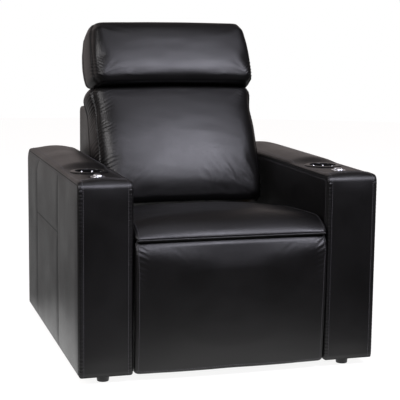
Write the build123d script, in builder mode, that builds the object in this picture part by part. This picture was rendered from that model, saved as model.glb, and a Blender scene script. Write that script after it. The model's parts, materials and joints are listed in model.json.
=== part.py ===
"""Cinema recliner seat: boxy arms, sliding seat, reclining back, tilting headrest, linked footrest.

Millimetres. X runs across the seat, -Y is the front and +Z is up. The origin is on the floor,
below the middle of the whole seat. Side -1 is the arm at -X and side +1 the arm at +X.
The solids are drawn upright and closed: the back then reclines 30 degrees while the seat slides
100 mm forward, the headrest tilts 18 degrees back, the footrest swings out 90 degrees and each
button goes down 1.5 mm.
"""

import os
from math import cos, radians, sin, tan

from build123d import *

os.makedirs("parts", exist_ok=True)

SIDES = {"left": -1, "right": 1}

# ---------------------------------------------------------------- arms
seat_bay = 612.0  # clear width between the two arms
arm_width = 167.0
arm_front = -480.0
arm_rear = 508.0
arm_bottom = 25.0
arm_top = 610.0
panel_wall = 22.0  # board, foam and leather together
arm_front_top_radius = 20.0
arm_rear_top_radius = 50.0
arm_edge_radius = 7.0
base_rail_height = 40.0

foot_diameter = 42.0
foot_taper = 3.0
foot_front_y = -432.0
foot_rear_y = 440.0
foot_edge = 1.5

# ---------------------------------------------------------------- cup holder and switch in each arm
cup_y = -233.0
cup_flange_diameter = 120.0
cup_well_diameter = 90.0
cup_wall = 1.5
cup_depth = 68.0
cup_flange_height = 4.0
cup_lip_radius = 1.8
cup_hole_clearance = 0.6

switch_y = -364.0
bezel_width = 44.0
bezel_length = 52.0
bezel_height = 3.0
bezel_edge = 1.0
switch_body_width = 34.0
switch_body_length = 42.0
switch_body_depth = 19.0
switch_floor = 2.0
switch_hole_clearance = 0.4
button_gap = 0.35
button_proud = 2.0
button_depth = 7.0
button_edge = 1.0

# ---------------------------------------------------------------- footrest linkage, seen from the side
# The leg board swings about a point on the front lip of the seat, where nothing can be pinned.
# Two parallelograms in a row carry it round that point.
lip_center = (-502.0, 462.0)  # (y, z) of the point that the footrest turns about
front_pivot = (-318.0, 322.0)  # front link on the seat plate
link_length = 180.0  # front link, from the seat plate to the middle pin
link_tail = 50.0  # front link, from the middle pin to its end pin
closed_angle = 230.0  # direction of the front link when closed, from the forward direction
rear_pivot_spacing = 55.0  # from the front pivot to the rear pivot
rear_pivot_angle = 185.0
link_width = 26.0
lower_link_width = 24.0
bar = 4.0  # thickness of every steel link and plate
rivet_diameter = 10.0
rivet_head_diameter = 17.0
rivet_head = 1.5
rivet_clearance = 0.08  # on the radius
swing_pin_clearance = 0.4  # on the radius, because the slide and the back turn at a steady ratio
shoulder_diameter = 15.0
shoulder_clearance = 0.4
layer_gap = 2.0  # between neighbouring links
plate_outer_x = 272.0  # outer face of the seat plates

torsion_tube_diameter = 25.0
torsion_tube_wall = 2.5
torsion_stub_diameter = 14.0
crank_radius = 55.0
crank_angle = 225.0
crank_pitch = 10.0  # middle of each crank plate, from the middle of the seat
crank_pin_diameter = 10.0
yoke_thickness = 12.0
yoke_slot_clearance = 2.0  # on each side of the crank pin, along the stroke
yoke_height = 44.0
yoke_length = 46.0

# ---------------------------------------------------------------- footrest board and pad
board_rear_y = -436.0
board_thickness = 15.0
board_bottom = 45.0
board_top = 415.0
board_side_gap = 18.0  # between the edge of the board and the edge of the pad
pad_side_gap = 3.0  # between the pad and each arm
pad_bottom = 26.0
pad_top = 430.0
pad_front_y = -508.0
pad_side_draw = 9.0  # how much the face falls back at each side
pad_crown_z = 375.0  # height of the most forward line of the face
pad_bottom_y = -492.0
pad_top_y = -486.0
pad_pocket_gap = 0.3
bracket_flange = 30.0
bracket_top = 338.0
bracket_bottom = 200.0

# ---------------------------------------------------------------- seat
plate_top = 342.0
plate_nose = 20.0
plate_slot_places = (-70.0, 20.0)
plate_slot_z = 260.0
plate_slot_height = 70.0
plate_slot_width = 46.0
slide_bottom = 153.5
slide_height = 33.0
slide_wall = 2.5
slide_front_y = -130.0
slide_rear_y = 260.0
channel_wall = 3.0
channel_front_y = -250.0
channel_rear_y = 380.0
slide_gap = 0.5
rail_width = 32.0
rail_height = 60.0
seat_front_rail_y = -422.0
seat_rear_rail_y = 154.0
webbing_thickness = 3.0
webbing_width = 60.0
webbing_count = 5
webbing_pitch = 92.0
cushion_gap = 0.3
seat_cushion_width = 606.0
seat_rear_y = 76.0
seat_rear_z = 449.0
seat_top = 494.0
seat_roll_y = -395.0
seat_fall = -0.02  # slope of the seat where it starts to roll over the front
seat_lip_z = 434.0
seat_lip_y = -497.0
seat_seam_height = 6.0
seat_step_y = -425.0
seat_side_drop = 15.0  # how much lower the seat is at its sides
crown_stations = (-1.0, -0.88, -0.7, -0.4, 0.0, 0.4, 0.7, 0.88, 1.0)
tube_side = 25.0
tube_wall = 2.0
seat_tube_y = 95.0

# ---------------------------------------------------------------- backrest
recline_lean = 21.5  # lean of the back when it is up, in degrees
back_base = (178.5, 410.0)  # (y, z) of the rear foot of the back cushion
back_pivot = (205.0, 240.0)
recline_sweep = 30.0
bracket_arm = 100.0  # from the back pivot to the swing link's pin
swing_link_length = 86.9
swing_link_half_sweep = 16.1
stile_width = 27.0
stile_depth = 25.0
stile_bottom = 5.0
stile_top = 362.0
stile_gap = 3.0
back_rail_height = 60.0
back_belt_count = 4
back_belt_pitch = 62.0
back_belt_width = 45.0
back_belt_gap = 6.0
bracket_width = 30.0
bracket_foot = 20.0
bracket_grip = 130.0
shell_side_gap = 3.0  # between the brackets and the inside of the shell
shell_rear_y = 488.0
shell_top = 765.0
shell_wall = 14.0
shell_rear_bottom = 300.0
shell_side_bottom = 385.0
shell_edge = 12.0
shell_top_fall = 3.0  # how much lower the shell is at its rear edge

# Back cushion, by height above its foot along the lean:
# (height, half width, rear, front at the sides, crown in the middle)
back_sections = [
    (0.0, 284.0, 8.0, 128.0, 10.0),
    (18.0, 297.0, 0.0, 150.0, 16.0),
    (150.0, 298.0, 0.0, 172.0, 20.0),
    (290.0, 295.0, 2.0, 158.0, 20.0),
    (400.0, 290.0, 5.0, 132.0, 20.0),
    (421.0, 278.0, 14.0, 112.0, 14.0),
]
back_corner = 26.0

# ---------------------------------------------------------------- headrest
head_hinge = (-8.0, 447.0)  # (depth, height) in the leaning frame of the back
head_sections = [
    (422.0, 282.0, 74.0, 168.0, 8.0),
    (444.0, 297.0, 44.0, 182.0, 10.0),
    (500.0, 298.0, 14.0, 184.0, 12.0),
    (565.0, 296.0, 12.0, 178.0, 12.0),
    (622.0, 290.0, 32.0, 166.0, 12.0),
    (652.0, 276.0, 62.0, 142.0, 8.0),
]
head_corner = 22.0
head_board_width = 440.0
head_board_height = 110.0
head_board_thickness = 12.0
head_board_rise = 31.0  # from the hinge to the foot of the board
head_board_depth = 52.0
strap_x = 115.0
strap_width = 30.0
strap_thickness = 4.0
strap_foot = 306.0
knuckle_diameter = 14.0
hinge_pin_diameter = 8.0
leaf_width = 10.0
leaf_gap = 0.6
leaf_grip = 40.0
leaf_slot_drop = 21.0

# ---------------------------------------------------------------- drives and power
drive_z = 275.0
housing_diameter = 36.0
piston_diameter = 22.0
piston_gap = 0.3
housing_front_y = -190.0
housing_rear_y = 60.0
gearbox_width = 60.0
gearbox_height = 62.0
gearbox_length = 52.0
motor_diameter = 44.0
motor_length = 95.0
recline_drive_x = -130.0
recline_drive_z = 170.0
recline_housing_front_y = 130.0
recline_housing_rear_y = 300.0
cross_tube_front_y = -100.0
cross_tube_rear_y = 340.0
supply_width = 160.0
supply_length = 90.0
supply_height = 45.0
supply_x = 130.0
supply_edge = 4.0
inlet_width = 28.0
inlet_height = 20.0
inlet_depth = 14.0
inlet_pin_width = 2.0
inlet_pin_height = 4.0
bolt_diameter = 8.0
bolt_head_diameter = 15.0
bolt_head = 5.0
bolt_clearance = 0.2
bolt_end_distance = 22.0

# ---------------------------------------------------------------- places that follow from the sizes
channel_low = slide_bottom - slide_gap - channel_wall
slide_middle = slide_bottom + slide_height / 2
bolt_rows = (channel_front_y + bolt_end_distance, channel_rear_y - bolt_end_distance)
seat_frame_top = plate_top + rail_height
pad_width = seat_bay - 2 * pad_side_gap
board_width = pad_width - 2 * board_side_gap
head_board_foot = head_hinge[1] + head_board_rise
bay = seat_bay / 2  # inner face of each arm
arm_x = bay + arm_width / 2
layer_pitch = bar + layer_gap
plate_x = plate_outer_x - bar / 2  # middle of the seat plates and of the lower links
front_layer_x = plate_x - layer_pitch  # front links, rear links and footrest brackets
upper_layer_x = front_layer_x - layer_pitch  # upper links
swing_layer_x = plate_x + layer_pitch + layer_gap  # swing links of the back
lug_x = swing_layer_x + layer_pitch
shell_half_width = front_layer_x + bar / 2 + shell_side_gap + shell_wall


def forward_offset(length, angle):
    """Step in (y, z) for a direction measured from the forward direction towards up."""
    return (-length * cos(radians(angle)), length * sin(radians(angle)))


def shifted(point, step):
    return (point[0] + step[0], point[1] + step[1])


carry = (lip_center[0] - front_pivot[0], lip_center[1] - front_pivot[1])
rear_step = forward_offset(rear_pivot_spacing, rear_pivot_angle)
rear_pivot = shifted(front_pivot, rear_step)
middle_pin = shifted(front_pivot, forward_offset(link_length, closed_angle))
tail_pin = shifted(front_pivot, forward_offset(link_length + link_tail, closed_angle))
follower_pin = shifted(middle_pin, rear_step)
board_pin = shifted(middle_pin, carry)
board_tail_pin = shifted(tail_pin, carry)
crank_pin = shifted(front_pivot, forward_offset(crank_radius, crank_angle))

swing_pin = shifted(back_pivot, forward_offset(bracket_arm, 90 - recline_sweep / 2))
swing_anchor = shifted(
    swing_pin, forward_offset(swing_link_length, 270 + swing_link_half_sweep)
)

lean = Plane(
    origin=(0, back_base[0], back_base[1]),
    x_dir=(1, 0, 0),
    z_dir=(0, sin(radians(recline_lean)), cos(radians(recline_lean))),
)
lean_side = Plane(origin=lean.origin, x_dir=lean.y_dir, z_dir=(1, 0, 0))


def leaning(depth, height):
    """(y, z) of a point given in the leaning frame: depth towards the rear, height up the back."""
    point = lean.from_local_coords(Vector(0, depth, height))
    return (point.Y, point.Z)


def side_plane(x):
    """Plane across the seat at x, drawn in (y, z)."""
    return Plane.YZ.offset(x)


def save(part, node):
    part.label = node
    export_step(part, f"parts/{node}.step")


# ================================================================ arms


def arm_casing(side):
    """The whole upholstered arm as one hollow block, which is then cut into its panels."""
    with BuildPart() as casing:
        with BuildSketch(side_plane(side * bay)):
            with BuildLine():
                Polyline(
                    (arm_front, arm_bottom),
                    (arm_front, arm_top),
                    (arm_rear, arm_top),
                    (arm_rear, arm_bottom),
                    close=True,
                )
            make_face()
        extrude(amount=side * arm_width)
        top_edges = casing.edges().filter_by(Axis.X).group_by(Axis.Z)[-1].sort_by(Axis.Y)
        fillet(top_edges[0], arm_front_top_radius)
        rear_edge = casing.edges().filter_by(Axis.X).group_by(Axis.Z)[-1].sort_by(Axis.Y)[-1]
        fillet(rear_edge, arm_rear_top_radius)
        for end in (0, -1):
            cheek = casing.faces().filter_by(Axis.X).sort_by(Axis.X)[end]
            floor_edges = casing.edges().group_by(Axis.Z)[0]
            fillet([e for e in cheek.edges() if e not in floor_edges], arm_edge_radius)
        with Locations((side * arm_x, (arm_front + arm_rear) / 2, arm_bottom)):
            Box(
                arm_width - 2 * panel_wall,
                arm_rear - arm_front - 2 * panel_wall,
                arm_top - arm_bottom - panel_wall,
                align=(Align.CENTER, Align.CENTER, Align.MIN),
                mode=Mode.SUBTRACT,
            )
    return casing.part


def cut_box(x_range, y_range, z_range):
    """A plain box between limits, joined to the open part by intersection."""
    size = [high - low for low, high in (x_range, y_range, z_range)]
    middle = [(high + low) / 2 for low, high in (x_range, y_range, z_range)]
    with Locations(tuple(middle)):
        Box(*size, mode=Mode.INTERSECT)


def arm_panels(side, name, casing):
    outer = bay + arm_width
    lid = arm_top - panel_wall
    inside = sorted((side * bay, side * (bay + panel_wall)))
    outside = sorted((side * (outer - panel_wall), side * outer))
    across = sorted((side * bay, side * outer))
    between = (arm_front + panel_wall, arm_rear - panel_wall)
    regions = {
        "inner_panel": (inside, between, (arm_bottom, lid)),
        "outer_panel": (outside, between, (arm_bottom, lid)),
        "front_panel": (across, (arm_front, arm_front + panel_wall), (arm_bottom, lid)),
        "rear_panel": (across, (arm_rear - panel_wall, arm_rear), (arm_bottom, lid)),
    }
    for region, limits in regions.items():
        with BuildPart() as panel:
            add(casing)
            cut_box(*limits)
            if region == "inner_panel":
                for y in bolt_rows:
                    with Locations(Plane.YZ):
                        with Locations((y, slide_middle, side * bay)):
                            Cylinder(
                                bolt_diameter / 2 + bolt_clearance,
                                3 * panel_wall,
                                mode=Mode.SUBTRACT,
                            )
        save(panel.part, f"{name}_arm_{region}")
    with BuildPart() as top_panel:
        add(casing)
        cut_box(across, (arm_front, arm_rear), (lid, arm_top))
        with Locations((side * arm_x, cup_y, arm_top)):
            Cylinder(
                cup_well_diameter / 2 + cup_hole_clearance,
                3 * panel_wall,
                mode=Mode.SUBTRACT,
            )
        with BuildSketch(Plane.XY.offset(arm_top)):
            with Locations((side * arm_x, switch_y)):
                Rectangle(
                    switch_body_width + 2 * switch_hole_clearance,
                    switch_body_length + 2 * switch_hole_clearance,
                )
        extrude(amount=-2 * panel_wall, mode=Mode.SUBTRACT)
    save(top_panel.part, f"{name}_arm_top_panel")


def arm_base_beams():
    """The beams that the panels stand round, and that the feet are screwed to."""
    with BuildPart() as beams:
        with Locations((arm_x, (arm_front + arm_rear) / 2, arm_bottom)):
            Box(
                arm_width - 2 * panel_wall,
                arm_rear - arm_front - 2 * panel_wall,
                base_rail_height,
                align=(Align.CENTER, Align.CENTER, Align.MIN),
            )
        mirror(about=Plane.YZ)
    save(beams.part, "arm_base_beams")


def feet():
    radius = foot_diameter / 2
    with BuildPart() as foot_set:
        with BuildSketch(Plane.XZ) as profile:
            with BuildLine():
                Polyline(
                    (0, 0),
                    (radius - foot_taper, 0),
                    (radius, arm_bottom),
                    (0, arm_bottom),
                    close=True,
                )
            make_face()
            rim = profile.vertices().group_by(Axis.Y)[0].sort_by(Axis.X)[-1]
            fillet(rim, foot_edge)
        foot = revolve(axis=Axis.Z, mode=Mode.PRIVATE)
        places = [(x, y) for x in (-arm_x, arm_x) for y in (foot_front_y, foot_rear_y)]
        with Locations(*[(x, y, 0) for x, y in places]):
            add(foot)
    save(foot_set.part, "feet")


def cup_holder(side, name):
    well = cup_well_diameter / 2
    flange = cup_flange_diameter / 2
    with BuildPart() as cup:
        with BuildSketch(Plane.XZ) as profile:
            with BuildLine():
                Polyline(
                    (0, -cup_depth),
                    (well, -cup_depth),
                    (well, 0),
                    (flange, 0),
                    (flange, cup_flange_height / 2),
                    (flange - cup_flange_height, cup_flange_height),
                    (well - cup_wall, cup_flange_height),
                    (well - cup_wall, cup_wall - cup_depth),
                    (0, cup_wall - cup_depth),
                    close=True,
                )
            make_face()
            mouth = profile.vertices().group_by(Axis.Y)[-1].sort_by(Axis.X)
            fillet(mouth, cup_lip_radius)
        revolve(axis=Axis.Z)
    cup.part.label = f"{name}_cup_holder"
    placed = cup.part.moved(Location((side * arm_x, cup_y, arm_top)))
    save(placed, f"{name}_cup_holder")


def switch(side, name):
    """Chrome surround with its housing, and the two buttons, one behind the other."""
    here = (side * arm_x, switch_y)
    opening_width = switch_body_width - 4 * switch_floor
    opening_length = switch_body_length - 4 * switch_floor
    with BuildPart() as surround:
        with BuildSketch(Plane.XY.offset(arm_top)):
            with Locations(here):
                Ellipse(bezel_width / 2, bezel_length / 2)
        extrude(amount=bezel_height)
        fillet(surround.edges().group_by(Axis.Z)[-1], bezel_edge)
        with BuildSketch(Plane.XY.offset(arm_top)):
            with Locations(here):
                Rectangle(switch_body_width, switch_body_length)
        extrude(amount=-switch_body_depth)
        with BuildSketch(Plane.XY.offset(arm_top + bezel_height)):
            with Locations(here):
                RectangleRounded(opening_width, opening_length, opening_width / 3)
        extrude(amount=-(bezel_height + switch_body_depth - switch_floor), mode=Mode.SUBTRACT)
    save(surround.part, f"{name}_switch_surround")
    button_width = opening_width - 2 * button_gap
    button_length = (opening_length - 3 * button_gap) / 2
    step = (button_length + button_gap) / 2
    top = arm_top + bezel_height + button_proud
    for place, toward in {"front": -1, "rear": 1}.items():
        with BuildPart() as button:
            with BuildSketch(Plane.XY.offset(top)):
                with Locations((here[0], here[1] + toward * step)):
                    RectangleRounded(button_width, button_length, button_width / 3 - button_gap)
            extrude(amount=-(button_depth + button_proud))
            fillet(button.edges().group_by(Axis.Z)[-1], button_edge)
        save(button.part, f"{name}_{place}_button")


# ================================================================ base frame


def channel_rails():
    """Outer halves of the seat slide, open towards the seat, with the lugs of the swing links."""
    low = channel_low
    height = slide_height + 2 * (slide_gap + channel_wall)
    depth = bay - (plate_outer_x + 3 * bar)
    with BuildPart() as channels:
        with BuildSketch(Plane.XZ.offset(-channel_front_y)):
            with Locations((bay - depth / 2, low + height / 2)):
                Rectangle(depth, height)
            with Locations((bay - channel_wall - depth / 2, low + height / 2)):
                Rectangle(depth, height - 2 * channel_wall, mode=Mode.SUBTRACT)
        extrude(amount=channel_front_y - channel_rear_y)
        for y in bolt_rows:
            with Locations(Plane.YZ):
                with Locations((y, slide_middle, bay)):
                    Cylinder(
                        bolt_diameter / 2 + bolt_clearance, 3 * channel_wall, mode=Mode.SUBTRACT
                    )
        with BuildSketch(side_plane(lug_x - bar / 2)):
            with BuildLine():
                Polyline(
                    (swing_anchor[0] - link_width, low + height),
                    (swing_anchor[0] - link_width / 2, swing_anchor[1] + link_width / 2),
                    (swing_anchor[0] + link_width / 2, swing_anchor[1] + link_width / 2),
                    (swing_anchor[0] + link_width, low + height),
                    close=True,
                )
            make_face()
        extrude(amount=bar)
        rivet(swing_anchor, lug_x, swing_layer_x)
        mirror(about=Plane.YZ)
    save(channels.part, "channel_rails")


def rivet(at, from_x, to_x):
    """Rivet from the link at from_x through the link at to_x, with its shoulder and head."""
    way = 1 if to_x > from_x else -1
    start = from_x + way * bar / 2
    far = to_x + way * (bar / 2 + shoulder_clearance)
    near = to_x - way * (bar / 2 + shoulder_clearance)
    for radius, first, last in (
        (shoulder_diameter / 2, start, near),
        (rivet_diameter / 2, near, far),
        (rivet_head_diameter / 2, far, far + way * rivet_head),
    ):
        with BuildSketch(side_plane(first)) as disc:
            with Locations(at):
                Circle(radius)
        extrude(disc.sketch, amount=last - first)


def rivet_hole(at, x, clearance=rivet_clearance):
    with BuildSketch(side_plane(x - bar)) as bore:
        with Locations(at):
            Circle(rivet_diameter / 2 + clearance)
    extrude(bore.sketch, amount=2 * bar, mode=Mode.SUBTRACT)


def square_tube(y, z, half_length):
    with BuildSketch(side_plane(-half_length)) as ring:
        with Locations((y, z)):
            Rectangle(tube_side, tube_side)
            Rectangle(tube_side - 2 * tube_wall, tube_side - 2 * tube_wall, mode=Mode.SUBTRACT)
    extrude(ring.sketch, amount=2 * half_length)


def base_tubes():
    """Two square tubes under the channels, from arm to arm."""
    with BuildPart() as tubes:
        for y in (cross_tube_front_y, cross_tube_rear_y):
            square_tube(y, channel_low - tube_side / 2, bay)
    save(tubes.part, "base_tubes")


def arm_bolts():
    """Bolts from inside each arm, through its inner panel into the wall of the channel."""
    with BuildPart() as bolts:
        for y in bolt_rows:
            with Locations(Plane.YZ):
                with Locations((y, slide_middle, bay - channel_wall)):
                    Cylinder(
                        bolt_diameter / 2,
                        channel_wall + panel_wall,
                        align=(Align.CENTER, Align.CENTER, Align.MIN),
                    )
                with Locations((y, slide_middle, bay + panel_wall)):
                    Cylinder(
                        bolt_head_diameter / 2,
                        bolt_head,
                        align=(Align.CENTER, Align.CENTER, Align.MIN),
                    )
        mirror(about=Plane.YZ)
    save(bolts.part, "arm_bolts")


# ================================================================ seat


def seat_plates():
    """Steel side plates: they carry the slide, the footrest links and the pivots of the back."""
    nose = front_pivot[0] - plate_nose
    with BuildPart() as plate:
        with BuildSketch(side_plane(plate_x - bar / 2)) as outline:
            with BuildLine():
                Polyline(
                    (nose, plate_top),
                    (nose, front_pivot[1] - plate_nose),
                    (slide_front_y - plate_nose, front_pivot[1] - plate_nose),
                    (slide_front_y, front_pivot[1] - 3 * plate_nose),
                    (slide_front_y, slide_bottom),
                    (slide_rear_y - 2 * plate_nose, slide_bottom),
                    (slide_rear_y - 2 * plate_nose, back_pivot[1] + plate_nose),
                    (back_pivot[0] - plate_nose, back_pivot[1] + plate_nose),
                    (seat_rear_rail_y - 3 * plate_nose, plate_top),
                    close=True,
                )
            make_face()
            corners = outline.vertices().group_by(Axis.Y)[0]
            fillet(corners, plate_nose / 2)
            with Locations(*[(y, plate_slot_z) for y in plate_slot_places]):
                SlotOverall(plate_slot_height, plate_slot_width, rotation=90, mode=Mode.SUBTRACT)
        extrude(amount=bar)
        with BuildSketch(side_plane(plate_x - bar)):
            with Locations(front_pivot):
                Circle(torsion_stub_diameter / 2 + rivet_clearance)
        extrude(amount=2 * bar, mode=Mode.SUBTRACT)
        rivet_hole(rear_pivot, plate_x)
        rivet_hole(back_pivot, plate_x)
        mirror(about=Plane.YZ)
    save(plate.part, "seat_plates")


def slide_bars():
    """Inner halves of the slide: tubes that run in the channels, bolted to the seat plates."""
    width = bay - channel_wall - slide_gap - plate_outer_x
    with BuildPart() as slides:
        with BuildSketch(Plane.XZ.offset(-slide_front_y)):
            with Locations((plate_outer_x + width / 2, slide_middle)):
                Rectangle(width, slide_height)
                Rectangle(
                    width - 2 * slide_wall, slide_height - 2 * slide_wall, mode=Mode.SUBTRACT
                )
        extrude(amount=slide_front_y - slide_rear_y)
        mirror(about=Plane.YZ)
    save(slides.part, "slide_bars")


def seat_frame():
    """Timber frame on top of the seat plates, with its belts."""
    front = seat_front_rail_y + rail_width
    rear = seat_rear_rail_y - rail_width
    with BuildPart() as side_rails:
        with Locations((plate_outer_x - rail_width / 2, (front + rear) / 2, plate_top)):
            Box(
                rail_width,
                rear - front,
                rail_height,
                align=(Align.CENTER, Align.CENTER, Align.MIN),
            )
        mirror(about=Plane.YZ)
    save(side_rails.part, "seat_side_rails")
    for name, y in (("front", seat_front_rail_y), ("rear", rear)):
        with BuildPart() as rail:
            with Locations((0, y, plate_top)):
                Box(
                    2 * plate_outer_x,
                    rail_width,
                    rail_height,
                    align=(Align.CENTER, Align.MIN, Align.MIN),
                )
        save(rail.part, f"{name}_seat_rail")
    with BuildPart() as webbing:
        with Locations((0, (seat_front_rail_y + seat_rear_rail_y) / 2, seat_frame_top)):
            with GridLocations(webbing_pitch, 1, webbing_count, 1):
                Box(
                    webbing_width,
                    seat_rear_rail_y - seat_front_rail_y,
                    webbing_thickness,
                    align=(Align.CENTER, Align.CENTER, Align.MIN),
                )
    save(webbing.part, "seat_webbing")


def seat_tubes():
    for name, z in (("upper", drive_z), ("lower", recline_drive_z)):
        with BuildPart() as tube:
            square_tube(seat_tube_y, z, plate_outer_x - bar)
        save(tube.part, f"{name}_seat_tube")


def crowned(half):
    """Places across a cushion, with the share of its side draw that each one takes."""
    return [(half * share, abs(share) ** 4) for share in crown_stations]


def seat_cushion():
    """Domed seat whose front rolls over to the seam above the footrest."""
    floor = seat_frame_top + webbing_thickness + cushion_gap

    def section(x, drop):
        rear_top = (seat_rear_y, seat_rear_z - drop)
        roll_top = (seat_roll_y, seat_top - drop)
        lip = (seat_lip_y, seat_lip_z + seat_seam_height)
        with BuildSketch(side_plane(x)) as outline:
            with BuildLine():
                Line((seat_rear_y, floor), rear_top)
                TangentArc(roll_top, rear_top, tangent=(1, seat_fall))
                TangentArc(roll_top, lip, tangent=(-1, -seat_fall / 2))
                Polyline(
                    lip,
                    (seat_lip_y, seat_lip_z),
                    (seat_step_y, seat_lip_z),
                    (seat_step_y, floor),
                    (seat_rear_y, floor),
                )
            make_face()
        return outline.sketch.face()

    with BuildPart() as cushion:
        loft(
            sections=[
                section(x, share * seat_side_drop) for x, share in crowned(seat_cushion_width / 2)
            ]
        )
    save(cushion.part, "seat_cushion")


# ================================================================ footrest and its links


def link_outline(*pins, width=link_width):
    """Plate outline that wraps a circle round each pin."""
    for at in pins:
        with Locations(at):
            Circle(width / 2)
    make_hull()


def front_links():
    with BuildPart() as links:
        with BuildSketch(side_plane(front_layer_x - bar / 2)):
            link_outline(front_pivot, tail_pin)
        extrude(amount=bar)
        rivet(middle_pin, front_layer_x, upper_layer_x)
        rivet(tail_pin, front_layer_x, plate_x)
        with BuildSketch(side_plane(front_layer_x - bar)):
            with Locations(front_pivot):
                Circle(torsion_stub_diameter / 2)
        extrude(amount=2 * bar, mode=Mode.SUBTRACT)
        mirror(about=Plane.YZ)
    save(links.part, "front_links")


def rear_links():
    with BuildPart() as links:
        with BuildSketch(side_plane(front_layer_x - bar / 2)):
            link_outline(rear_pivot, follower_pin)
        extrude(amount=bar)
        rivet(rear_pivot, front_layer_x, plate_x)
        rivet(follower_pin, front_layer_x, upper_layer_x)
        mirror(about=Plane.YZ)
    save(links.part, "rear_links")


def upper_links():
    with BuildPart() as links:
        for ends in ((follower_pin, middle_pin), (middle_pin, board_pin)):
            with BuildSketch(side_plane(upper_layer_x - bar / 2)):
                link_outline(*ends)
            extrude(amount=bar)
        for pin in (follower_pin, middle_pin, board_pin):
            rivet_hole(pin, upper_layer_x)
        mirror(about=Plane.YZ)
    save(links.part, "upper_links")


def lower_links():
    with BuildPart() as links:
        with BuildSketch(side_plane(plate_x - bar / 2)):
            link_outline(tail_pin, board_tail_pin, width=lower_link_width)
        extrude(amount=bar)
        for pin in (tail_pin, board_tail_pin):
            rivet_hole(pin, plate_x)
        mirror(about=Plane.YZ)
    save(links.part, "lower_links")


def footrest_brackets():
    """Angle brackets from the two board pins to the rear of the leg board."""
    reach = link_width / 2
    with BuildPart() as brackets:
        with BuildSketch(side_plane(front_layer_x - bar / 2)):
            with BuildLine():
                Polyline(
                    (board_rear_y, bracket_top),
                    (board_pin[0] + reach, bracket_top),
                    (board_tail_pin[0] + reach, board_tail_pin[1]),
                    (board_tail_pin[0], board_tail_pin[1] - reach),
                    (board_rear_y + bar, bracket_bottom),
                    (board_rear_y, bracket_bottom),
                    close=True,
                )
            make_face()
        extrude(amount=bar)
        flange_x = front_layer_x + bar / 2 - bracket_flange / 2
        with Locations((flange_x, board_rear_y, (bracket_top + bracket_bottom) / 2)):
            Box(
                bracket_flange,
                bar,
                bracket_top - bracket_bottom,
                align=(Align.CENTER, Align.MIN, Align.CENTER),
            )
        rivet(board_pin, front_layer_x, upper_layer_x)
        rivet(board_tail_pin, front_layer_x, plate_x)
        mirror(about=Plane.YZ)
    save(brackets.part, "footrest_brackets")


def torsion_tube():
    """Tube that ties both front links together, with the crank that the footrest drive pushes."""
    end = front_layer_x - bar / 2
    stub_end = plate_outer_x + rivet_head
    with BuildPart() as tube:
        with BuildSketch(side_plane(-end)):
            with Locations(front_pivot):
                Circle(torsion_tube_diameter / 2)
        extrude(amount=2 * end)
        with BuildSketch(side_plane(-stub_end)):
            with Locations(front_pivot):
                Circle(torsion_stub_diameter / 2)
        extrude(amount=2 * stub_end)
        with BuildSketch(side_plane(-stub_end)):
            with Locations(front_pivot):
                Circle(torsion_stub_diameter / 2 - torsion_tube_wall)
        extrude(amount=2 * stub_end, mode=Mode.SUBTRACT)
        for way in (-1, 1):
            with BuildSketch(side_plane(way * (crank_pitch - bar / 2))):
                link_outline(front_pivot, crank_pin, width=link_width)
            extrude(amount=way * bar)
        with BuildSketch(side_plane(-crank_pitch)):
            with Locations(crank_pin):
                Circle(crank_pin_diameter / 2)
        extrude(amount=2 * crank_pitch)
    save(tube.part, "torsion_tube")


def footrest_board():
    with BuildPart() as board:
        with Locations((0, board_rear_y, (board_top + board_bottom) / 2)):
            Box(
                board_width,
                board_thickness,
                board_top - board_bottom,
                align=(Align.CENTER, Align.MAX, Align.CENTER),
            )
        fillet(board.edges().filter_by(Axis.Y), board_thickness)
    save(board.part, "footrest_board")


def footrest_pad():
    """Full-height padded front: its face bulges most just below the seam of the seat."""

    def section(x, draw):
        crown = (pad_front_y + draw, pad_crown_z)
        foot = (pad_bottom_y + draw, pad_bottom)
        head = (pad_top_y + draw, pad_top)
        with BuildSketch(side_plane(x)) as outline:
            with BuildLine():
                Polyline(head, (board_rear_y, pad_top), (board_rear_y, pad_bottom), foot)
                TangentArc(crown, foot, tangent=(0, -1))
                TangentArc(crown, head, tangent=(0, 1))
            make_face()
        return outline.sketch.face()

    with BuildPart() as pad:
        loft(
            sections=[section(x, share * pad_side_draw) for x, share in crowned(pad_width / 2)]
        )
        with Locations((0, board_rear_y, (board_top + board_bottom) / 2)):
            Box(
                board_width + 2 * pad_pocket_gap,
                board_thickness + pad_pocket_gap,
                board_top - board_bottom + 2 * pad_pocket_gap,
                align=(Align.CENTER, Align.MAX, Align.CENTER),
                mode=Mode.SUBTRACT,
            )
    save(pad.part, "footrest_pad")


# ================================================================ drives and power


def tube_between(x, z, outer, inner, front_y, rear_y):
    with BuildSketch(Plane.XZ.offset(-front_y)) as ring:
        with Locations((x, z)):
            Circle(outer / 2)
            if inner:
                Circle(inner / 2, mode=Mode.SUBTRACT)
    extrude(ring.sketch, amount=front_y - rear_y)


def drive_housing(x, z, front_y, rear_y, mount_y, motor_turn):
    """Tube, gearbox, hanging motor and mounting clevis of one linear drive."""
    with BuildPart() as housing:
        tube_between(x, z, housing_diameter, piston_diameter + 2 * piston_gap, front_y, rear_y)
        block_y = rear_y - gearbox_length / 2
        with Locations((x, block_y, z)):
            Box(gearbox_width, gearbox_length, gearbox_height)
        fillet(housing.edges().filter_by(Axis.Y).group_by(Axis.Z)[0], bolt_head)
        tube_between(x, z, piston_diameter + 2 * piston_gap, 0, rear_y - gearbox_length, rear_y)
        with BuildSketch(side_plane(x + motor_turn * gearbox_width / 2)):
            with Locations((block_y, z)):
                Circle(motor_diameter / 2)
        extrude(amount=motor_turn * motor_length)
        with Locations((x, rear_y, z)):
            Box(
                motor_diameter / 2,
                mount_y - rear_y,
                tube_side,
                align=(Align.CENTER, Align.MIN, Align.CENTER),
            )
    return housing.part


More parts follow.
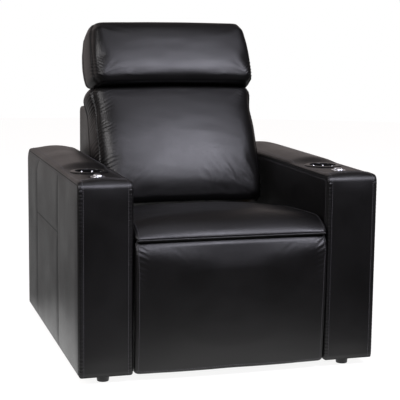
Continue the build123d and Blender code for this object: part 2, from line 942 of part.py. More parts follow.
def footrest_drive():
    housing = drive_housing(
        0, drive_z, housing_front_y, housing_rear_y, seat_tube_y - tube_side / 2, 1
    )
    save(housing, "footrest_drive_housing")
    slot_width = crank_pin_diameter + 2 * yoke_slot_clearance
    with BuildPart() as piston:
        tube_between(
            0,
            drive_z,
            piston_diameter,
            0,
            crank_pin[0] + yoke_length / 2,
            housing_rear_y - gearbox_length - bolt_head,
        )
        with Locations((0, crank_pin[0], drive_z)):
            Box(yoke_thickness, yoke_length, yoke_height)
        fillet(piston.edges().filter_by(Axis.X), bolt_head)
        with BuildSketch(side_plane(-yoke_thickness)):
            with Locations((crank_pin[0], drive_z)):
                SlotOverall(yoke_height - 4 * bar, slot_width, rotation=90)
        extrude(amount=2 * yoke_thickness, mode=Mode.SUBTRACT)
    save(piston.part, "footrest_drive_piston")


def recline_drive():
    housing = drive_housing(
        recline_drive_x,
        recline_drive_z,
        recline_housing_front_y,
        recline_housing_rear_y,
        cross_tube_rear_y + tube_side / 2,
        1,
    )
    with BuildPart() as mounted:
        add(housing)
        low = channel_low
        with Locations((recline_drive_x, cross_tube_rear_y, low)):
            Box(
                motor_diameter / 2,
                tube_side,
                recline_drive_z - low,
                align=(Align.CENTER, Align.CENTER, Align.MIN),
            )
    save(mounted.part, "recline_drive_housing")
    with BuildPart() as piston:
        tube_between(
            recline_drive_x,
            recline_drive_z,
            piston_diameter,
            0,
            seat_tube_y + tube_side / 2,
            recline_housing_rear_y - gearbox_length - bolt_head,
        )
    save(piston.part, "recline_drive_piston")


def power_supply():
    top = channel_low - tube_side
    y = cross_tube_rear_y
    with BuildPart() as supply:
        with Locations((supply_x, y, top)):
            Box(
                supply_width,
                supply_length,
                supply_height,
                align=(Align.CENTER, Align.CENTER, Align.MAX),
            )
        fillet(supply.edges(), supply_edge)
        with Locations((supply_x, y + supply_length / 2, top - supply_height / 2)):
            Box(
                inlet_width,
                inlet_depth,
                inlet_height,
                align=(Align.CENTER, Align.MAX, Align.CENTER),
                mode=Mode.SUBTRACT,
            )
            with Locations((0, -inlet_depth, 0)):
                with GridLocations(inlet_width / 4, 1, 3, 1):
                    Box(
                        inlet_pin_width,
                        inlet_depth / 2,
                        inlet_pin_height,
                        align=(Align.CENTER, Align.MIN, Align.CENTER),
                    )
    save(supply.part, "power_supply")


# ================================================================ backrest


def leaning_box(x, depth_range, height_range, width):
    """Box in the leaning frame of the back."""
    depth = (depth_range[0] + depth_range[1]) / 2
    with Locations(lean):
        with Locations((x, depth, height_range[0])):
            Box(
                width,
                depth_range[1] - depth_range[0],
                height_range[1] - height_range[0],
                align=(Align.CENTER, Align.CENTER, Align.MIN),
            )


def back_frame():
    """Timber stiles and rails with elastic belts across them."""
    outer = front_layer_x - bar / 2
    depths = (stile_gap, stile_gap + stile_depth)
    with BuildPart() as stiles:
        leaning_box(outer - stile_width / 2, depths, (stile_bottom, stile_top), stile_width)
        mirror(about=Plane.YZ)
    save(stiles.part, "back_stiles")
    span = 2 * (outer - stile_width)
    with BuildPart() as rails:
        for low in (stile_bottom, stile_top - back_rail_height):
            leaning_box(0, depths, (low, low + back_rail_height), span)
    save(rails.part, "back_rails")
    first = stile_bottom + back_rail_height + back_belt_width / 2 + back_belt_gap
    with BuildPart() as belts:
        for count in range(back_belt_count):
            middle = first + count * back_belt_pitch
            leaning_box(
                0,
                (cushion_gap, stile_gap),
                (middle - back_belt_width / 2, middle + back_belt_width / 2),
                2 * outer,
            )
    save(belts.part, "back_webbing")


def back_brackets():
    """Steel brackets from the pivots on the seat plates up the stiles of the back."""
    middle = stile_gap + stile_depth / 2
    low = leaning(middle, stile_bottom + bracket_foot)
    high = leaning(middle, stile_bottom + bracket_foot + bracket_grip)
    with BuildPart() as brackets:
        with BuildSketch(side_plane(front_layer_x - bar / 2)):
            link_outline(back_pivot, swing_pin, low, width=bracket_width)
            link_outline(low, high, width=link_width)
        extrude(amount=bar)
        rivet(back_pivot, front_layer_x, plate_x)
        rivet(swing_pin, front_layer_x, swing_layer_x)
        mirror(about=Plane.YZ)
    save(brackets.part, "back_brackets")


def swing_links():
    with BuildPart() as links:
        with BuildSketch(side_plane(swing_layer_x - bar / 2)):
            link_outline(swing_pin, swing_anchor)
        extrude(amount=bar)
        rivet_hole(swing_pin, swing_layer_x, swing_pin_clearance)
        rivet_hole(swing_anchor, swing_layer_x)
        mirror(about=Plane.YZ)
    save(links.part, "swing_links")


def back_shell():
    """Boxy outer back, made hollow and then cut into the panels that it is upholstered on."""
    front_low = leaning(stile_gap, 0)
    slope = tan(radians(recline_lean))

    def front_y(z):
        return front_low[0] + (z - front_low[1]) * slope

    width = 2 * shell_half_width
    with BuildPart() as shell:
        with BuildSketch(side_plane(-shell_half_width)):
            with BuildLine():
                Polyline(
                    (front_y(shell_side_bottom), shell_side_bottom),
                    (front_y(shell_top), shell_top),
                    (shell_rear_y, shell_top - shell_top_fall),
                    (shell_rear_y, shell_rear_bottom),
                    (shell_rear_y - shell_wall, shell_rear_bottom),
                    (shell_rear_y - shell_wall, shell_side_bottom),
                    close=True,
                )
            make_face()
        extrude(amount=width)
        fillet(shell.edges().filter_by(Axis.X).group_by(Axis.Z)[-2], shell_edge)
        rear = shell.faces().sort_by(Axis.Y)[-1]
        fillet(rear.edges().filter_by(Axis.Z), shell_edge)
        inner = front_y(shell_side_bottom) - shell_wall
        with BuildSketch(side_plane(-shell_half_width + shell_wall)):
            with BuildLine():
                Polyline(
                    (inner, shell_rear_bottom),
                    (inner, shell_top - shell_wall),
                    (shell_rear_y - shell_wall, shell_top - shell_wall),
                    (shell_rear_y - shell_wall, shell_rear_bottom),
                    close=True,
                )
            make_face()
        extrude(amount=width - 2 * shell_wall, mode=Mode.SUBTRACT)
    depth_range = (0, 2 * shell_rear_y)
    lid = shell_top - shell_wall
    wall_y = shell_rear_y - shell_wall
    full = (-shell_half_width, shell_half_width)
    low = shell_rear_bottom - shell_wall
    regions = {
        "back_top_panel": (full, depth_range, (lid, shell_top)),
        "back_rear_panel": (full, (wall_y, shell_rear_y), (low, lid)),
        "left_back_side_panel": (
            (-shell_half_width, shell_wall - shell_half_width),
            (0, wall_y),
            (low, lid),
        ),
        "right_back_side_panel": (
            (shell_half_width - shell_wall, shell_half_width),
            (0, wall_y),
            (low, lid),
        ),
    }
    for node, limits in regions.items():
        with BuildPart() as panel:
            add(shell.part)
            cut_box(*limits)
        save(panel.part, node)


def padded_section(height, half, rear, side_front, crown, corner):
    """Cushion outline across the leaning frame: flat rear, round corners and a crowned face."""
    face = -side_front
    with BuildSketch(lean.offset(height)) as outline:
        with BuildLine():
            Line((half, -rear), (half, face + corner))
            ThreePointArc(
                (half, face + corner),
                (half - 0.3 * corner, face + 0.3 * corner),
                (half - corner, face),
            )
            ThreePointArc((half - corner, face), (0, face - crown), (corner - half, face))
            ThreePointArc(
                (corner - half, face),
                (0.3 * corner - half, face + 0.3 * corner),
                (-half, face + corner),
            )
            Line((-half, face + corner), (-half, -rear))
            Line((-half, -rear), (half, -rear))
        make_face()
    return outline.sketch.face()


def padded_stack(sections, corner):
    """Loft the body of a cushion smoothly, and its two drawn-in ends straight."""
    faces = [padded_section(*values, corner) for values in sections]
    with BuildPart() as stack:
        loft(sections=faces[1:-1])
        loft(sections=faces[:2], ruled=True)
        loft(sections=faces[-2:], ruled=True)
    return stack.part


def back_cushion():
    save(padded_stack(back_sections, back_corner), "back_cushion")


# ================================================================ headrest


def headrest():
    pocket = (
        -(head_board_depth + head_board_thickness + cushion_gap),
        -(head_board_depth - cushion_gap),
    )
    heights = (head_board_foot - cushion_gap, head_board_foot + head_board_height + cushion_gap)
    hinge_y, hinge_z = head_hinge
    with BuildPart() as board:
        leaning_box(
            0,
            (-(head_board_depth + head_board_thickness), -head_board_depth),
            (head_board_foot, head_board_foot + head_board_height),
            head_board_width,
        )
    save(board.part, "headrest_board")
    leaf_top = head_board_foot + leaf_grip
    leaf_rear = -head_board_depth + strap_thickness
    with BuildPart() as leaves:
        with BuildSketch(lean_side.offset(strap_x - leaf_width / 2)):
            with BuildLine():
                Polyline(
                    (hinge_y, hinge_z + strap_thickness),
                    (hinge_y, hinge_z - strap_thickness),
                    (-head_board_depth, head_board_foot - strap_thickness),
                    (-head_board_depth, leaf_top),
                    (leaf_rear, leaf_top),
                    (leaf_rear, head_board_foot + strap_thickness),
                    close=True,
                )
            make_face()
            with Locations(head_hinge):
                Circle(knuckle_diameter / 2)
                Circle(hinge_pin_diameter / 2 + rivet_clearance, mode=Mode.SUBTRACT)
        extrude(amount=leaf_width)
        mirror(about=Plane.YZ)
    save(leaves.part, "headrest_hinge_leaves")
    with BuildPart() as cushion:
        add(padded_stack(head_sections, head_corner))
        with Locations(lean):
            with Locations((0, (pocket[0] + pocket[1]) / 2, heights[0])):
                Box(
                    head_board_width + 2 * cushion_gap,
                    pocket[1] - pocket[0],
                    heights[1] - heights[0],
                    align=(Align.CENTER, Align.CENTER, Align.MIN),
                    mode=Mode.SUBTRACT,
                )
        for side in SIDES.values():
            with BuildSketch(lean_side.offset(side * strap_x - leaf_width / 2 - leaf_gap)):
                with BuildLine():
                    Polyline(
                        (0, hinge_z - leaf_slot_drop),
                        (pocket[0], hinge_z + strap_thickness),
                        (pocket[0], leaf_top + leaf_gap),
                        (leaf_rear + leaf_gap, leaf_top + leaf_gap),
                        (leaf_rear + leaf_gap, heights[0] + strap_thickness),
                        (0, heights[0] + strap_thickness),
                        close=True,
                    )
                make_face()
            extrude(amount=leaf_width + 2 * leaf_gap, mode=Mode.SUBTRACT)
    save(cushion.part, "headrest_cushion")


def headrest_straps():
    """Forked steel straps up the rear of the back cushion, with the hinge pins of the headrest."""
    hinge_y, hinge_z = head_hinge
    slot = leaf_width + 2 * leaf_gap
    rear = stile_gap
    front = stile_gap - strap_thickness
    with BuildPart() as straps:
        with BuildSketch(lean_side.offset(strap_x - strap_width / 2)):
            with BuildLine():
                Polyline(
                    (rear, strap_foot),
                    (rear, hinge_z),
                    (hinge_y, hinge_z + strap_thickness),
                    (hinge_y, hinge_z - strap_thickness),
                    (front, hinge_z - knuckle_diameter),
                    (front, strap_foot),
                    close=True,
                )
            make_face()
            with Locations(head_hinge):
                Circle(knuckle_diameter / 2)
        extrude(amount=strap_width)
        with BuildSketch(lean_side.offset(strap_x - slot / 2)):
            with Locations(head_hinge):
                Circle(knuckle_diameter / 2 + leaf_gap)
        extrude(amount=slot, mode=Mode.SUBTRACT)
        with BuildSketch(lean_side.offset(strap_x - strap_width / 2)):
            with Locations(head_hinge):
                Circle(hinge_pin_diameter / 2)
        extrude(amount=strap_width)
        mirror(about=Plane.YZ)
    save(straps.part, "headrest_straps")


# ================================================================ build everything

for name, side in SIDES.items():
    arm_panels(side, name, arm_casing(side))
    cup_holder(side, name)
    switch(side, name)

arm_base_beams()
feet()
channel_rails()
base_tubes()
arm_bolts()
seat_plates()
slide_bars()
seat_frame()
seat_tubes()
seat_cushion()
front_links()
rear_links()
upper_links()
lower_links()
footrest_brackets()
torsion_tube()
footrest_board()
footrest_pad()
footrest_drive()
recline_drive()
power_supply()
back_frame()
back_brackets()
swing_links()
back_shell()
back_cushion()
headrest()
headrest_straps()
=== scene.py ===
"""The look of the cinema recliner: leather, thread, chrome, timber, steel and the studio round it."""

import json
import math

import bmesh
import bpy
from mathutils import Matrix, Vector, noise
from mathutils.bvhtree import BVHTree
from mathutils.kdtree import KDTree

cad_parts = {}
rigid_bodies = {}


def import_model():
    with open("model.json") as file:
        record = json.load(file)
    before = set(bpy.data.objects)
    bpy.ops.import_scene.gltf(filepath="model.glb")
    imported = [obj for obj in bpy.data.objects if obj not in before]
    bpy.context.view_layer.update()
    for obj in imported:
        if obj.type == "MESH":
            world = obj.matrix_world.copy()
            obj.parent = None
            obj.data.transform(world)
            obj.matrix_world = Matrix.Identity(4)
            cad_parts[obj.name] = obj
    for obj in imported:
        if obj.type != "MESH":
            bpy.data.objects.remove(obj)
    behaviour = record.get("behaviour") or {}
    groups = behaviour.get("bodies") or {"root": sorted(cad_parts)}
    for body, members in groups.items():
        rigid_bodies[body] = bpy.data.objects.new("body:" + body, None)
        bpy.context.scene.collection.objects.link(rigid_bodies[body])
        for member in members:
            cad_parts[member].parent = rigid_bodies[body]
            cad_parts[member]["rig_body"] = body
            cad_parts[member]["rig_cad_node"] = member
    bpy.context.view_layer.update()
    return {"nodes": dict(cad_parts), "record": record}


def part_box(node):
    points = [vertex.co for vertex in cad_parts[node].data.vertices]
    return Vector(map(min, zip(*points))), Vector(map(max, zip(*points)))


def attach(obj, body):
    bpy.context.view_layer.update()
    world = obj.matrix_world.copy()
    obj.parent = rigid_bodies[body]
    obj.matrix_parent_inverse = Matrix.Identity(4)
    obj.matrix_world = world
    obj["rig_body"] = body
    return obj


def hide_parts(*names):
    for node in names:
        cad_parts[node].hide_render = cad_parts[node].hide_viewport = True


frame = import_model()

MM = 0.001


# ---------------------------------------------------------------- nodes and colours


def linear(colour):
    """An sRGB hex colour as the linear numbers that a socket takes."""
    channels = [int(colour[i : i + 2], 16) / 255 for i in (0, 2, 4)]
    return (*[c / 12.92 if c <= 0.04045 else ((c + 0.055) / 1.055) ** 2.4 for c in channels], 1.0)


def link(tree, source, socket):
    """Link an output to a socket. A node stands for its first output."""
    if isinstance(source, bpy.types.Node):
        source = source.outputs[0]
    tree.links.new(source, socket)


def node(tree, kind, links=None, stops=(), **settings):
    """Add a shader node with its settings. Links holds its sockets, each with a value, an output or a
    node, and stops are a colour ramp's: two places from 0 to 1, each with an sRGB hex colour."""
    added = tree.nodes.new("ShaderNode" + kind)
    for name, value in settings.items():
        setattr(added, name, value)
    for socket, value in (links or {}).items():
        if isinstance(value, (bpy.types.NodeSocket, bpy.types.Node)):
            link(tree, value, added.inputs[socket])
        else:
            added.inputs[socket].default_value = value
    for i, (place, colour) in enumerate(stops):
        element = added.color_ramp.elements[i]
        element.position, element.color = place, linear(colour)
    return added


def finish_named(name, **sockets):
    """A new material with set values on its shader; returns it, its tree and its coordinates."""
    material = bpy.data.materials.new(name)
    material.use_nodes = True
    shader = material.node_tree.nodes["Principled BSDF"]
    for socket, value in sockets.items():
        shader.inputs[socket.replace("_", " ")].default_value = value
    place = node(material.node_tree, "TexCoord").outputs["Object"]
    return material, material.node_tree, place


def wired(material, **sources):
    """Link sources to the inputs of a material's shader, each by the name of its input."""
    tree = material.node_tree
    for socket, source in sources.items():
        link(tree, source, tree.nodes["Principled BSDF"].inputs[socket.replace("_", " ")])
    return material


# ---------------------------------------------------------------- materials
PEBBLE = 2.6  # mm; the true pebbles of a hide are about 1 mm and are drawn larger so that they show
PORE, THREAD_TWIST, TREE_RING, ORANGE_PEEL = 0.9, 1.2, 25.0, 2.0  # mm
DRAWN_STREAK, MOULDING_WAVE, SPARK_TEXTURE, BELT_RIB = 1.5, 9.0, 1.4, 4.0  # mm
# Waves per metre of the slow patterns: the wander of the creases and the clouds of tone in a hide,
# the dust on coated steel and the rubbed places on plastic
WANDER, CLOUDS, DUST, RUBBED = 90, 7, 14, 30
CREASE_SHADE_COLOUR = "050505"  # painted shade: the hide between the pebbles, darkened as their grooves would be in shade


def upholstery_leather(name, dark, light, roughness):
    """Pigmented cow hide, embossed and sealed: pebbles with fine grooves between them, painted darker
    as shade, a satin seal coat that spreads each highlight, and slow changes of tone where the hide was
    stretched."""
    material, tree, place = finish_named(name, IOR=1.48, Specular_IOR_Level=0.5)
    pull = node(tree, "TexNoise", {"Vector": place, "Scale": WANDER, "Detail": 2})
    bent = node(tree, "MixRGB", {"Fac": 0.006, "Color1": place, "Color2": pull.outputs["Color"]})
    pebbles = node(
        tree, "TexVoronoi", {"Vector": bent, "Scale": 1 / (PEBBLE * MM)}, feature="DISTANCE_TO_EDGE"
    )
    rounded = node(
        tree, "MapRange", {"Value": pebbles.outputs["Distance"], 1: 0.0, 2: 0.35, 3: 0.0, 4: 1.0},
        interpolation_type="SMOOTHSTEP",
    )
    pores = node(tree, "TexNoise", {"Vector": place, "Scale": 1 / (PORE * MM), "Detail": 3})
    clouds = node(tree, "TexNoise", {"Vector": place, "Scale": CLOUDS, "Detail": 4}).outputs["Fac"]
    tone = node(tree, "ValToRGB", {0: clouds}, ((0.32, dark), (0.68, light)))
    # Painted shade: the grooves between the pebbles are mixed towards the darker colour.
    pebble_groove_shade = node(tree, "MixRGB", {"Fac": rounded, "Color1": linear(CREASE_SHADE_COLOUR), "Color2": tone})
    gloss = node(
        tree, "MapRange", {"Value": clouds, 1: 0.3, 2: 0.7, 3: roughness - 0.04, 4: roughness + 0.05}
    )
    relief = node(tree, "Math", {0: rounded, 1: pores.outputs["Fac"]}, operation="ADD")
    bump = node(tree, "Bump", {"Strength": 0.22, "Distance": 0.0005, "Height": relief})
    return wired(material, Base_Color=pebble_groove_shade, Roughness=gloss, Normal=bump)


def sewing_thread():
    """Bonded polyester thread: a soft sheen along each stitch, a little paler than the hide."""
    material, tree, place = finish_named("bonded_polyester_thread", Roughness=0.5)
    twist = node(tree, "TexNoise", {"Vector": place, "Scale": 1 / (THREAD_TWIST * MM)})
    tone = node(tree, "ValToRGB", {0: twist.outputs["Fac"]}, ((0.3, "363538"), (0.7, "5b5a5f")))
    return wired(material, Base_Color=tone)


def sawn_timber():
    """Sawn birch plywood and softwood rails: long grain along the length, dull and pale."""
    material, tree, place = finish_named("sawn_birch", Roughness=0.7)
    along = node(tree, "Mapping", {"Vector": place, "Scale": (0.12, 1.0, 1.0)})
    rings = node(
        tree, "TexWave",
        {"Vector": along, "Scale": 1 / (TREE_RING * MM), "Distortion": 5, "Detail": 3},
        bands_direction="Z",
    ).outputs["Fac"]
    bump = node(tree, "Bump", {"Strength": 0.2, "Distance": 0.0004, "Height": rings})
    tone = node(tree, "ValToRGB", {0: rings}, ((0.1, "b08a5c"), (0.9, "cfae7e")))
    return wired(material, Base_Color=tone, Normal=bump)


def coated_steel():
    """Mild steel, powder coated black: a fine orange-peel that breaks up each highlight."""
    material, tree, place = finish_named("powder_coated_steel", Roughness=0.45)
    peel = node(tree, "TexNoise", {"Vector": place, "Scale": 1 / (ORANGE_PEEL * MM), "Detail": 2})
    dust = node(tree, "TexNoise", {"Vector": place, "Scale": DUST, "Detail": 5}).outputs["Fac"]
    bump = node(tree, "Bump", {"Strength": 0.25, "Distance": 0.0003, "Height": peel.outputs["Fac"]})
    tone = node(tree, "ValToRGB", {0: dust}, ((0.3, "17171a"), (0.75, "2b2b2e")))
    return wired(material, Base_Color=tone, Normal=bump)


def plated_steel():
    """Bright zinc-plated steel, drawn along its length: fine streaks and a soft metallic shine."""
    material, tree, place = finish_named("zinc_plated_steel", Metallic=1.0)
    drawn = node(tree, "Mapping", {"Vector": place, "Scale": (1.0, 0.03, 1.0)})
    streaks = node(
        tree, "TexNoise", {"Vector": drawn, "Scale": 1 / (DRAWN_STREAK * MM), "Detail": 3}
    ).outputs["Fac"]
    gloss = node(tree, "MapRange", {"Value": streaks, 3: 0.28, 4: 0.42})
    tone = node(tree, "ValToRGB", {0: streaks}, ((0.3, "9c9da0"), (0.7, "c3c4c6")))
    return wired(material, Base_Color=tone, Roughness=gloss)


def polished_chrome():
    """Satin chrome plate over moulded ABS: a soft mirror with the slight waviness of the moulding."""
    material, tree, place = finish_named("chrome_plate", Metallic=1.0)
    haze = node(
        tree, "TexNoise", {"Vector": place, "Scale": 1 / (MOULDING_WAVE * MM), "Detail": 2}
    ).outputs["Fac"]
    gloss = node(tree, "MapRange", {"Value": haze, 3: 0.28, 4: 0.42})
    tone = node(tree, "ValToRGB", {0: haze}, ((0.3, "d9dadd"), (0.7, "f1f1f3")))
    return wired(material, Base_Color=tone, Roughness=gloss)


def moulded_plastic(name, dark, light, roughness):
    """Injection-moulded ABS: a faint spark texture from the mould, and rubbed places that shine."""
    material, tree, place = finish_named(name, IOR=1.5)
    spark = node(tree, "TexNoise", {"Vector": place, "Scale": 1 / (SPARK_TEXTURE * MM), "Detail": 3})
    rubbed = node(tree, "TexNoise", {"Vector": place, "Scale": RUBBED, "Detail": 3}).outputs["Fac"]
    gloss = node(tree, "MapRange", {"Value": rubbed, 3: roughness - 0.05, 4: roughness + 0.08})
    bump = node(tree, "Bump", {"Strength": 0.15, "Distance": 0.0002, "Height": spark.outputs["Fac"]})
    tone = node(tree, "ValToRGB", {0: rubbed}, ((0.3, dark), (0.75, light)))
    return wired(material, Base_Color=tone, Roughness=gloss, Normal=bump)


def elastic_webbing():
    """Woven polypropylene belt with rubber threads: dull ribs across the belt, painted paler on top and
    darker in the grooves.
    """
    material, tree, place = finish_named("elastic_webbing", Roughness=0.85)
    ribs = node(
        tree, "TexWave", {"Vector": place, "Scale": 1 / (BELT_RIB * MM * 2 * math.pi)},
        bands_direction="X",
    ).outputs["Fac"]
    bump = node(tree, "Bump", {"Strength": 0.6, "Distance": 0.0008, "Height": ribs})
    # Painted light and shade: the tops of the ribs paler, the grooves between them darker.
    tone = node(tree, "ValToRGB", {0: ribs}, ((0.2, "1d1d20"), (0.8, "4a4a4e")))
    return wired(material, Base_Color=tone, Normal=bump)


seat_leather = upholstery_leather("full_cover_cow_hide", "080607", "0f0c0e", 0.4)
# Painted light: a paler, browner copy of the hide for the back shell, whose side is lit from the left.
lit_side_leather = upholstery_leather("lit_side_hide", "130f0e", "1d1715", 0.42)
# Painted shade: a near-black hide for thin strips on the arms, where the seam valleys lie in shade.
seam_shade_finish = upholstery_leather("painted_seam_shade", "030303", "060505", 0.85)
thread = sewing_thread()
timber = sawn_timber()
black_steel = coated_steel()
bright_steel = plated_steel()
chrome = polished_chrome()
matt_plastic = moulded_plastic("moulded_abs", "131314", "212123", 0.5)
gloss_plastic = moulded_plastic("piano_black_abs", "060607", "0b0b0c", 0.3)
webbing = elastic_webbing()

SLOT_FINISH = {
    "black_leather": seat_leather,
    "frame_timber": timber,
    "black_steel": black_steel,
    "bright_steel": bright_steel,
    "chrome": chrome,
    "black_plastic": matt_plastic,
    "gloss_black_plastic": gloss_plastic,
    "belt_fabric": webbing,
}
for part in frame["record"]["subparts"]:
    shown = frame["nodes"][part["node"]]
    shown.data.materials.clear()
    shown.data.materials.append(SLOT_FINISH[part["material_slot"]])


# ---------------------------------------------------------------- modelling helpers


def fresh():
    """Object mode, with nothing selected."""
    if bpy.context.object and bpy.context.object.mode != "OBJECT":
        bpy.ops.object.mode_set(mode="OBJECT")
    bpy.ops.object.select_all(action="DESELECT")


def only(piece):
    """Select this piece alone and make it active."""
    fresh()
    piece.select_set(True)
    bpy.context.view_layer.objects.active = piece


def settle(piece):
    """Move a piece's place, turn and scale into its mesh."""
    only(piece)
    bpy.ops.object.transform_apply(location=True, rotation=True, scale=True)


def block(name, low, high):
    """A box between two corners, in metres."""
    fresh()
    middle = [(a + b) / 2 for a, b in zip(low, high)]
    bpy.ops.mesh.primitive_cube_add(size=1, location=middle)
    piece = bpy.context.object
    piece.name = name
    piece.scale = [b - a for a, b in zip(low, high)]
    settle(piece)
    return piece


def copied(source, name):
    """A copy of an object with its own mesh, on no body yet."""
    piece = source.copy()
    piece.data = source.data.copy()
    piece.name = name
    piece.parent = None
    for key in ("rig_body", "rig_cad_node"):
        if key in piece:
            del piece[key]
    bpy.context.scene.collection.objects.link(piece)
    piece.hide_render = False
    return piece


def edited(piece, operator, **settings):
    """Run an edit-mode operator on the whole of a piece."""
    only(piece)
    bpy.ops.object.mode_set(mode="EDIT")
    bpy.ops.mesh.select_all(action="SELECT")
    operator(**settings)
    bpy.ops.object.mode_set(mode="OBJECT")
    return piece


def merged(piece):
    """Weld a mesh's doubled points."""
    return edited(piece, bpy.ops.mesh.remove_doubles, threshold=0.02 * MM)


def facing_out(piece):
    """Recalculate the normals of a new closed mesh."""
    return edited(piece, bpy.ops.mesh.normals_make_consistent, inside=False)


def modified(piece, kind, **settings):
    """Add a modifier with its settings, and apply it."""
    added = piece.modifiers.new("added", kind)
    for name, value in settings.items():
        setattr(added, name, value)
    only(piece)
    bpy.ops.object.modifier_apply(modifier=added.name)


def placed(name, data):
    """A new object in the scene."""
    made = bpy.data.objects.new(name, data)
    bpy.context.scene.collection.objects.link(made)
    return made


def from_bmesh(name, mesh):
    """A new piece made from a bmesh, which is freed."""
    data = bpy.data.meshes.new(name)
    mesh.to_mesh(data)
    mesh.free()
    return placed(name, data)


def voxels(piece, size):
    """Remesh a piece into even squares of this size, in mm."""
    only(piece)
    piece.data.remesh_voxel_size = size * MM
    bpy.ops.object.voxel_remesh()
    return piece


def dress(piece, material, body):
    """Give a piece its finish, its smooth shading and the body that it rides on."""
    piece.data.materials.clear()
    piece.data.materials.append(material)
    for face in piece.data.polygons:
        face.use_smooth = True
    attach(piece, body)


def step(value, low, high):
    """0 below low, 1 above high, and a smooth rise between them."""
    t = min(max((value - low) / (high - low), 0.0), 1.0)
    return t * t * (3 - 2 * t)


def band(value, low, full, fading, gone):
    """A smooth rise from low to full, and a smooth fall from fading to gone."""
    return step(value, low, full) * (1 - step(value, fading, gone))


def folds(way, pitch, drift, *place):
    """A wave of this pitch along the way, pushed to and fro by a noise at the place."""
    return math.sin(2 * math.pi * way / pitch + drift * noise.noise(Vector(place)))


def bevelled(piece, test, radius, segments):
    """Round the edges whose two ends both pass the test."""
    only(piece)
    bpy.ops.object.mode_set(mode="EDIT")
    bpy.ops.mesh.select_mode(type="EDGE")
    mesh = bmesh.from_edit_mesh(piece.data)
    for item in (*mesh.faces, *mesh.edges, *mesh.verts):
        item.select = False
    for edge in mesh.edges:
        if all(test(vertex.co) for vertex in edge.verts):
            edge.select = True
    mesh.select_flush_mode()
    bmesh.update_edit_mesh(piece.data)
    bpy.ops.mesh.bevel(offset=radius * MM, segments=segments, profile=0.5)
    bpy.ops.object.mode_set(mode="OBJECT")


def sliced(piece, axis, first, last, pitch):
    """Cut a piece across into even slices, so that it can be shaped."""
    only(piece)
    bpy.ops.object.mode_set(mode="EDIT")
    normal = [0, 0, 0]
    normal[axis] = 1
    count = max(1, round((last - first) / pitch))
    for i in range(1, count):
        place = [0, 0, 0]
        place[axis] = (first + (last - first) * i / count) * MM
        bpy.ops.mesh.select_all(action="SELECT")
        bpy.ops.mesh.bisect(plane_co=place, plane_no=normal)
    bpy.ops.object.mode_set(mode="OBJECT")


def carved(piece, cutter):
    """Take a cutter's shape out of a piece."""
    modified(piece, "BOOLEAN", operation="DIFFERENCE", object=cutter, solver="EXACT")
    bpy.data.objects.remove(cutter)


def surface_of(piece):
    """The piece's surface, to lay seams and stitches on."""
    mesh = bmesh.new()
    mesh.from_mesh(piece.data)
    tree = BVHTree.FromBMesh(mesh)
    mesh.free()
    return tree


def laid(points, surface):
    """Points in mm brought to the nearest place on a surface, in metres, each with its normal."""
    return [surface.find_nearest(Vector(point) * MM)[:2] for point in points]


def even(points, pitch):
    """Walk along a run of points in steps of one pitch."""
    places = [Vector(points[0])]
    need = pitch
    for a, b in zip(points, points[1:]):
        a, b = Vector(a), Vector(b)
        length, gone = (b - a).length, 0.0
        while length - gone >= need:
            gone += need
            places.append(a.lerp(b, gone / length))
            need = pitch
        need -= length - gone
    return places


WELT_SIDES = 8
WELT_END = 0.25  # how thick a welt is at its two ends, as a share of its middle


def welt(name, points, surface, width, height, pitch=6.0, sink=0.3, bead=0.0, bead_pitch=9.0):
    """A raised seam: a flattened cord laid along a run of points on a surface, in mm. With a bead it
    swells and shrinks along its length, as leather does that is gathered into a seam. Without a
    surface it lies at its own points and faces the front."""
    places = even(points, pitch)
    if surface:
        places = laid(places, surface)
    else:
        places = [(place * MM, Vector((0, -1, 0))) for place in places]
    mesh = bmesh.new()
    rings = []
    for i, (place, normal) in enumerate(places):
        ahead = (places[min(i + 1, len(places) - 1)][0] - places[max(i - 1, 0)][0]).normalized()
        across = ahead.cross(normal).normalized()
        taper = WELT_END if i in (0, len(places) - 1) else 1.0
        drift = noise.noise(place * 60) * 2.0
        taper *= 1 + bead * math.sin(2 * math.pi * i * pitch / bead_pitch + drift)
        ring = []
        for k in range(WELT_SIDES):
            turn = 2 * math.pi * k / WELT_SIDES
            out = across * math.cos(turn) * width / 2 * min(taper, 1.0) + normal * (
                math.sin(turn) * height * taper - sink * height
            )
            ring.append(mesh.verts.new(place + out * MM))
        rings.append(ring)
    for a, b in zip(rings, rings[1:]):
        for k in range(WELT_SIDES):
            after = (k + 1) % WELT_SIDES
            mesh.faces.new((a[k], a[after], b[after], b[k]))
    mesh.faces.new(reversed(rings[0]))
    mesh.faces.new(rings[-1])
    return facing_out(from_bmesh(name, mesh))


STITCH_PITCH = 7.0
STITCH_HALF = (2.9, 0.75, 0.65)  # half the length, width and height of a stitch
STITCH_LIFT, STITCH_DIP = 0.25, 0.5  # how high its middle lies, and how far its ends are pulled down


def one_stitch():
    """One stitch of thick thread, pulled down at both ends, along +X and centred."""
    fresh()
    bpy.ops.mesh.primitive_uv_sphere_add(segments=6, ring_count=6, radius=1, location=(0, 0, 0))
    stitch = bpy.context.object
    stitch.rotation_euler = (0, math.pi / 2, 0)
    settle(stitch)
    for vertex in stitch.data.vertices:
        x, y, z = vertex.co
        long, wide, high = (c * half for c, half in zip((x, y, z), STITCH_HALF))
        vertex.co = (long * MM, wide * MM, (high + STITCH_LIFT - STITCH_DIP * x * x) * MM)
    return stitch


stitch_shape = one_stitch()


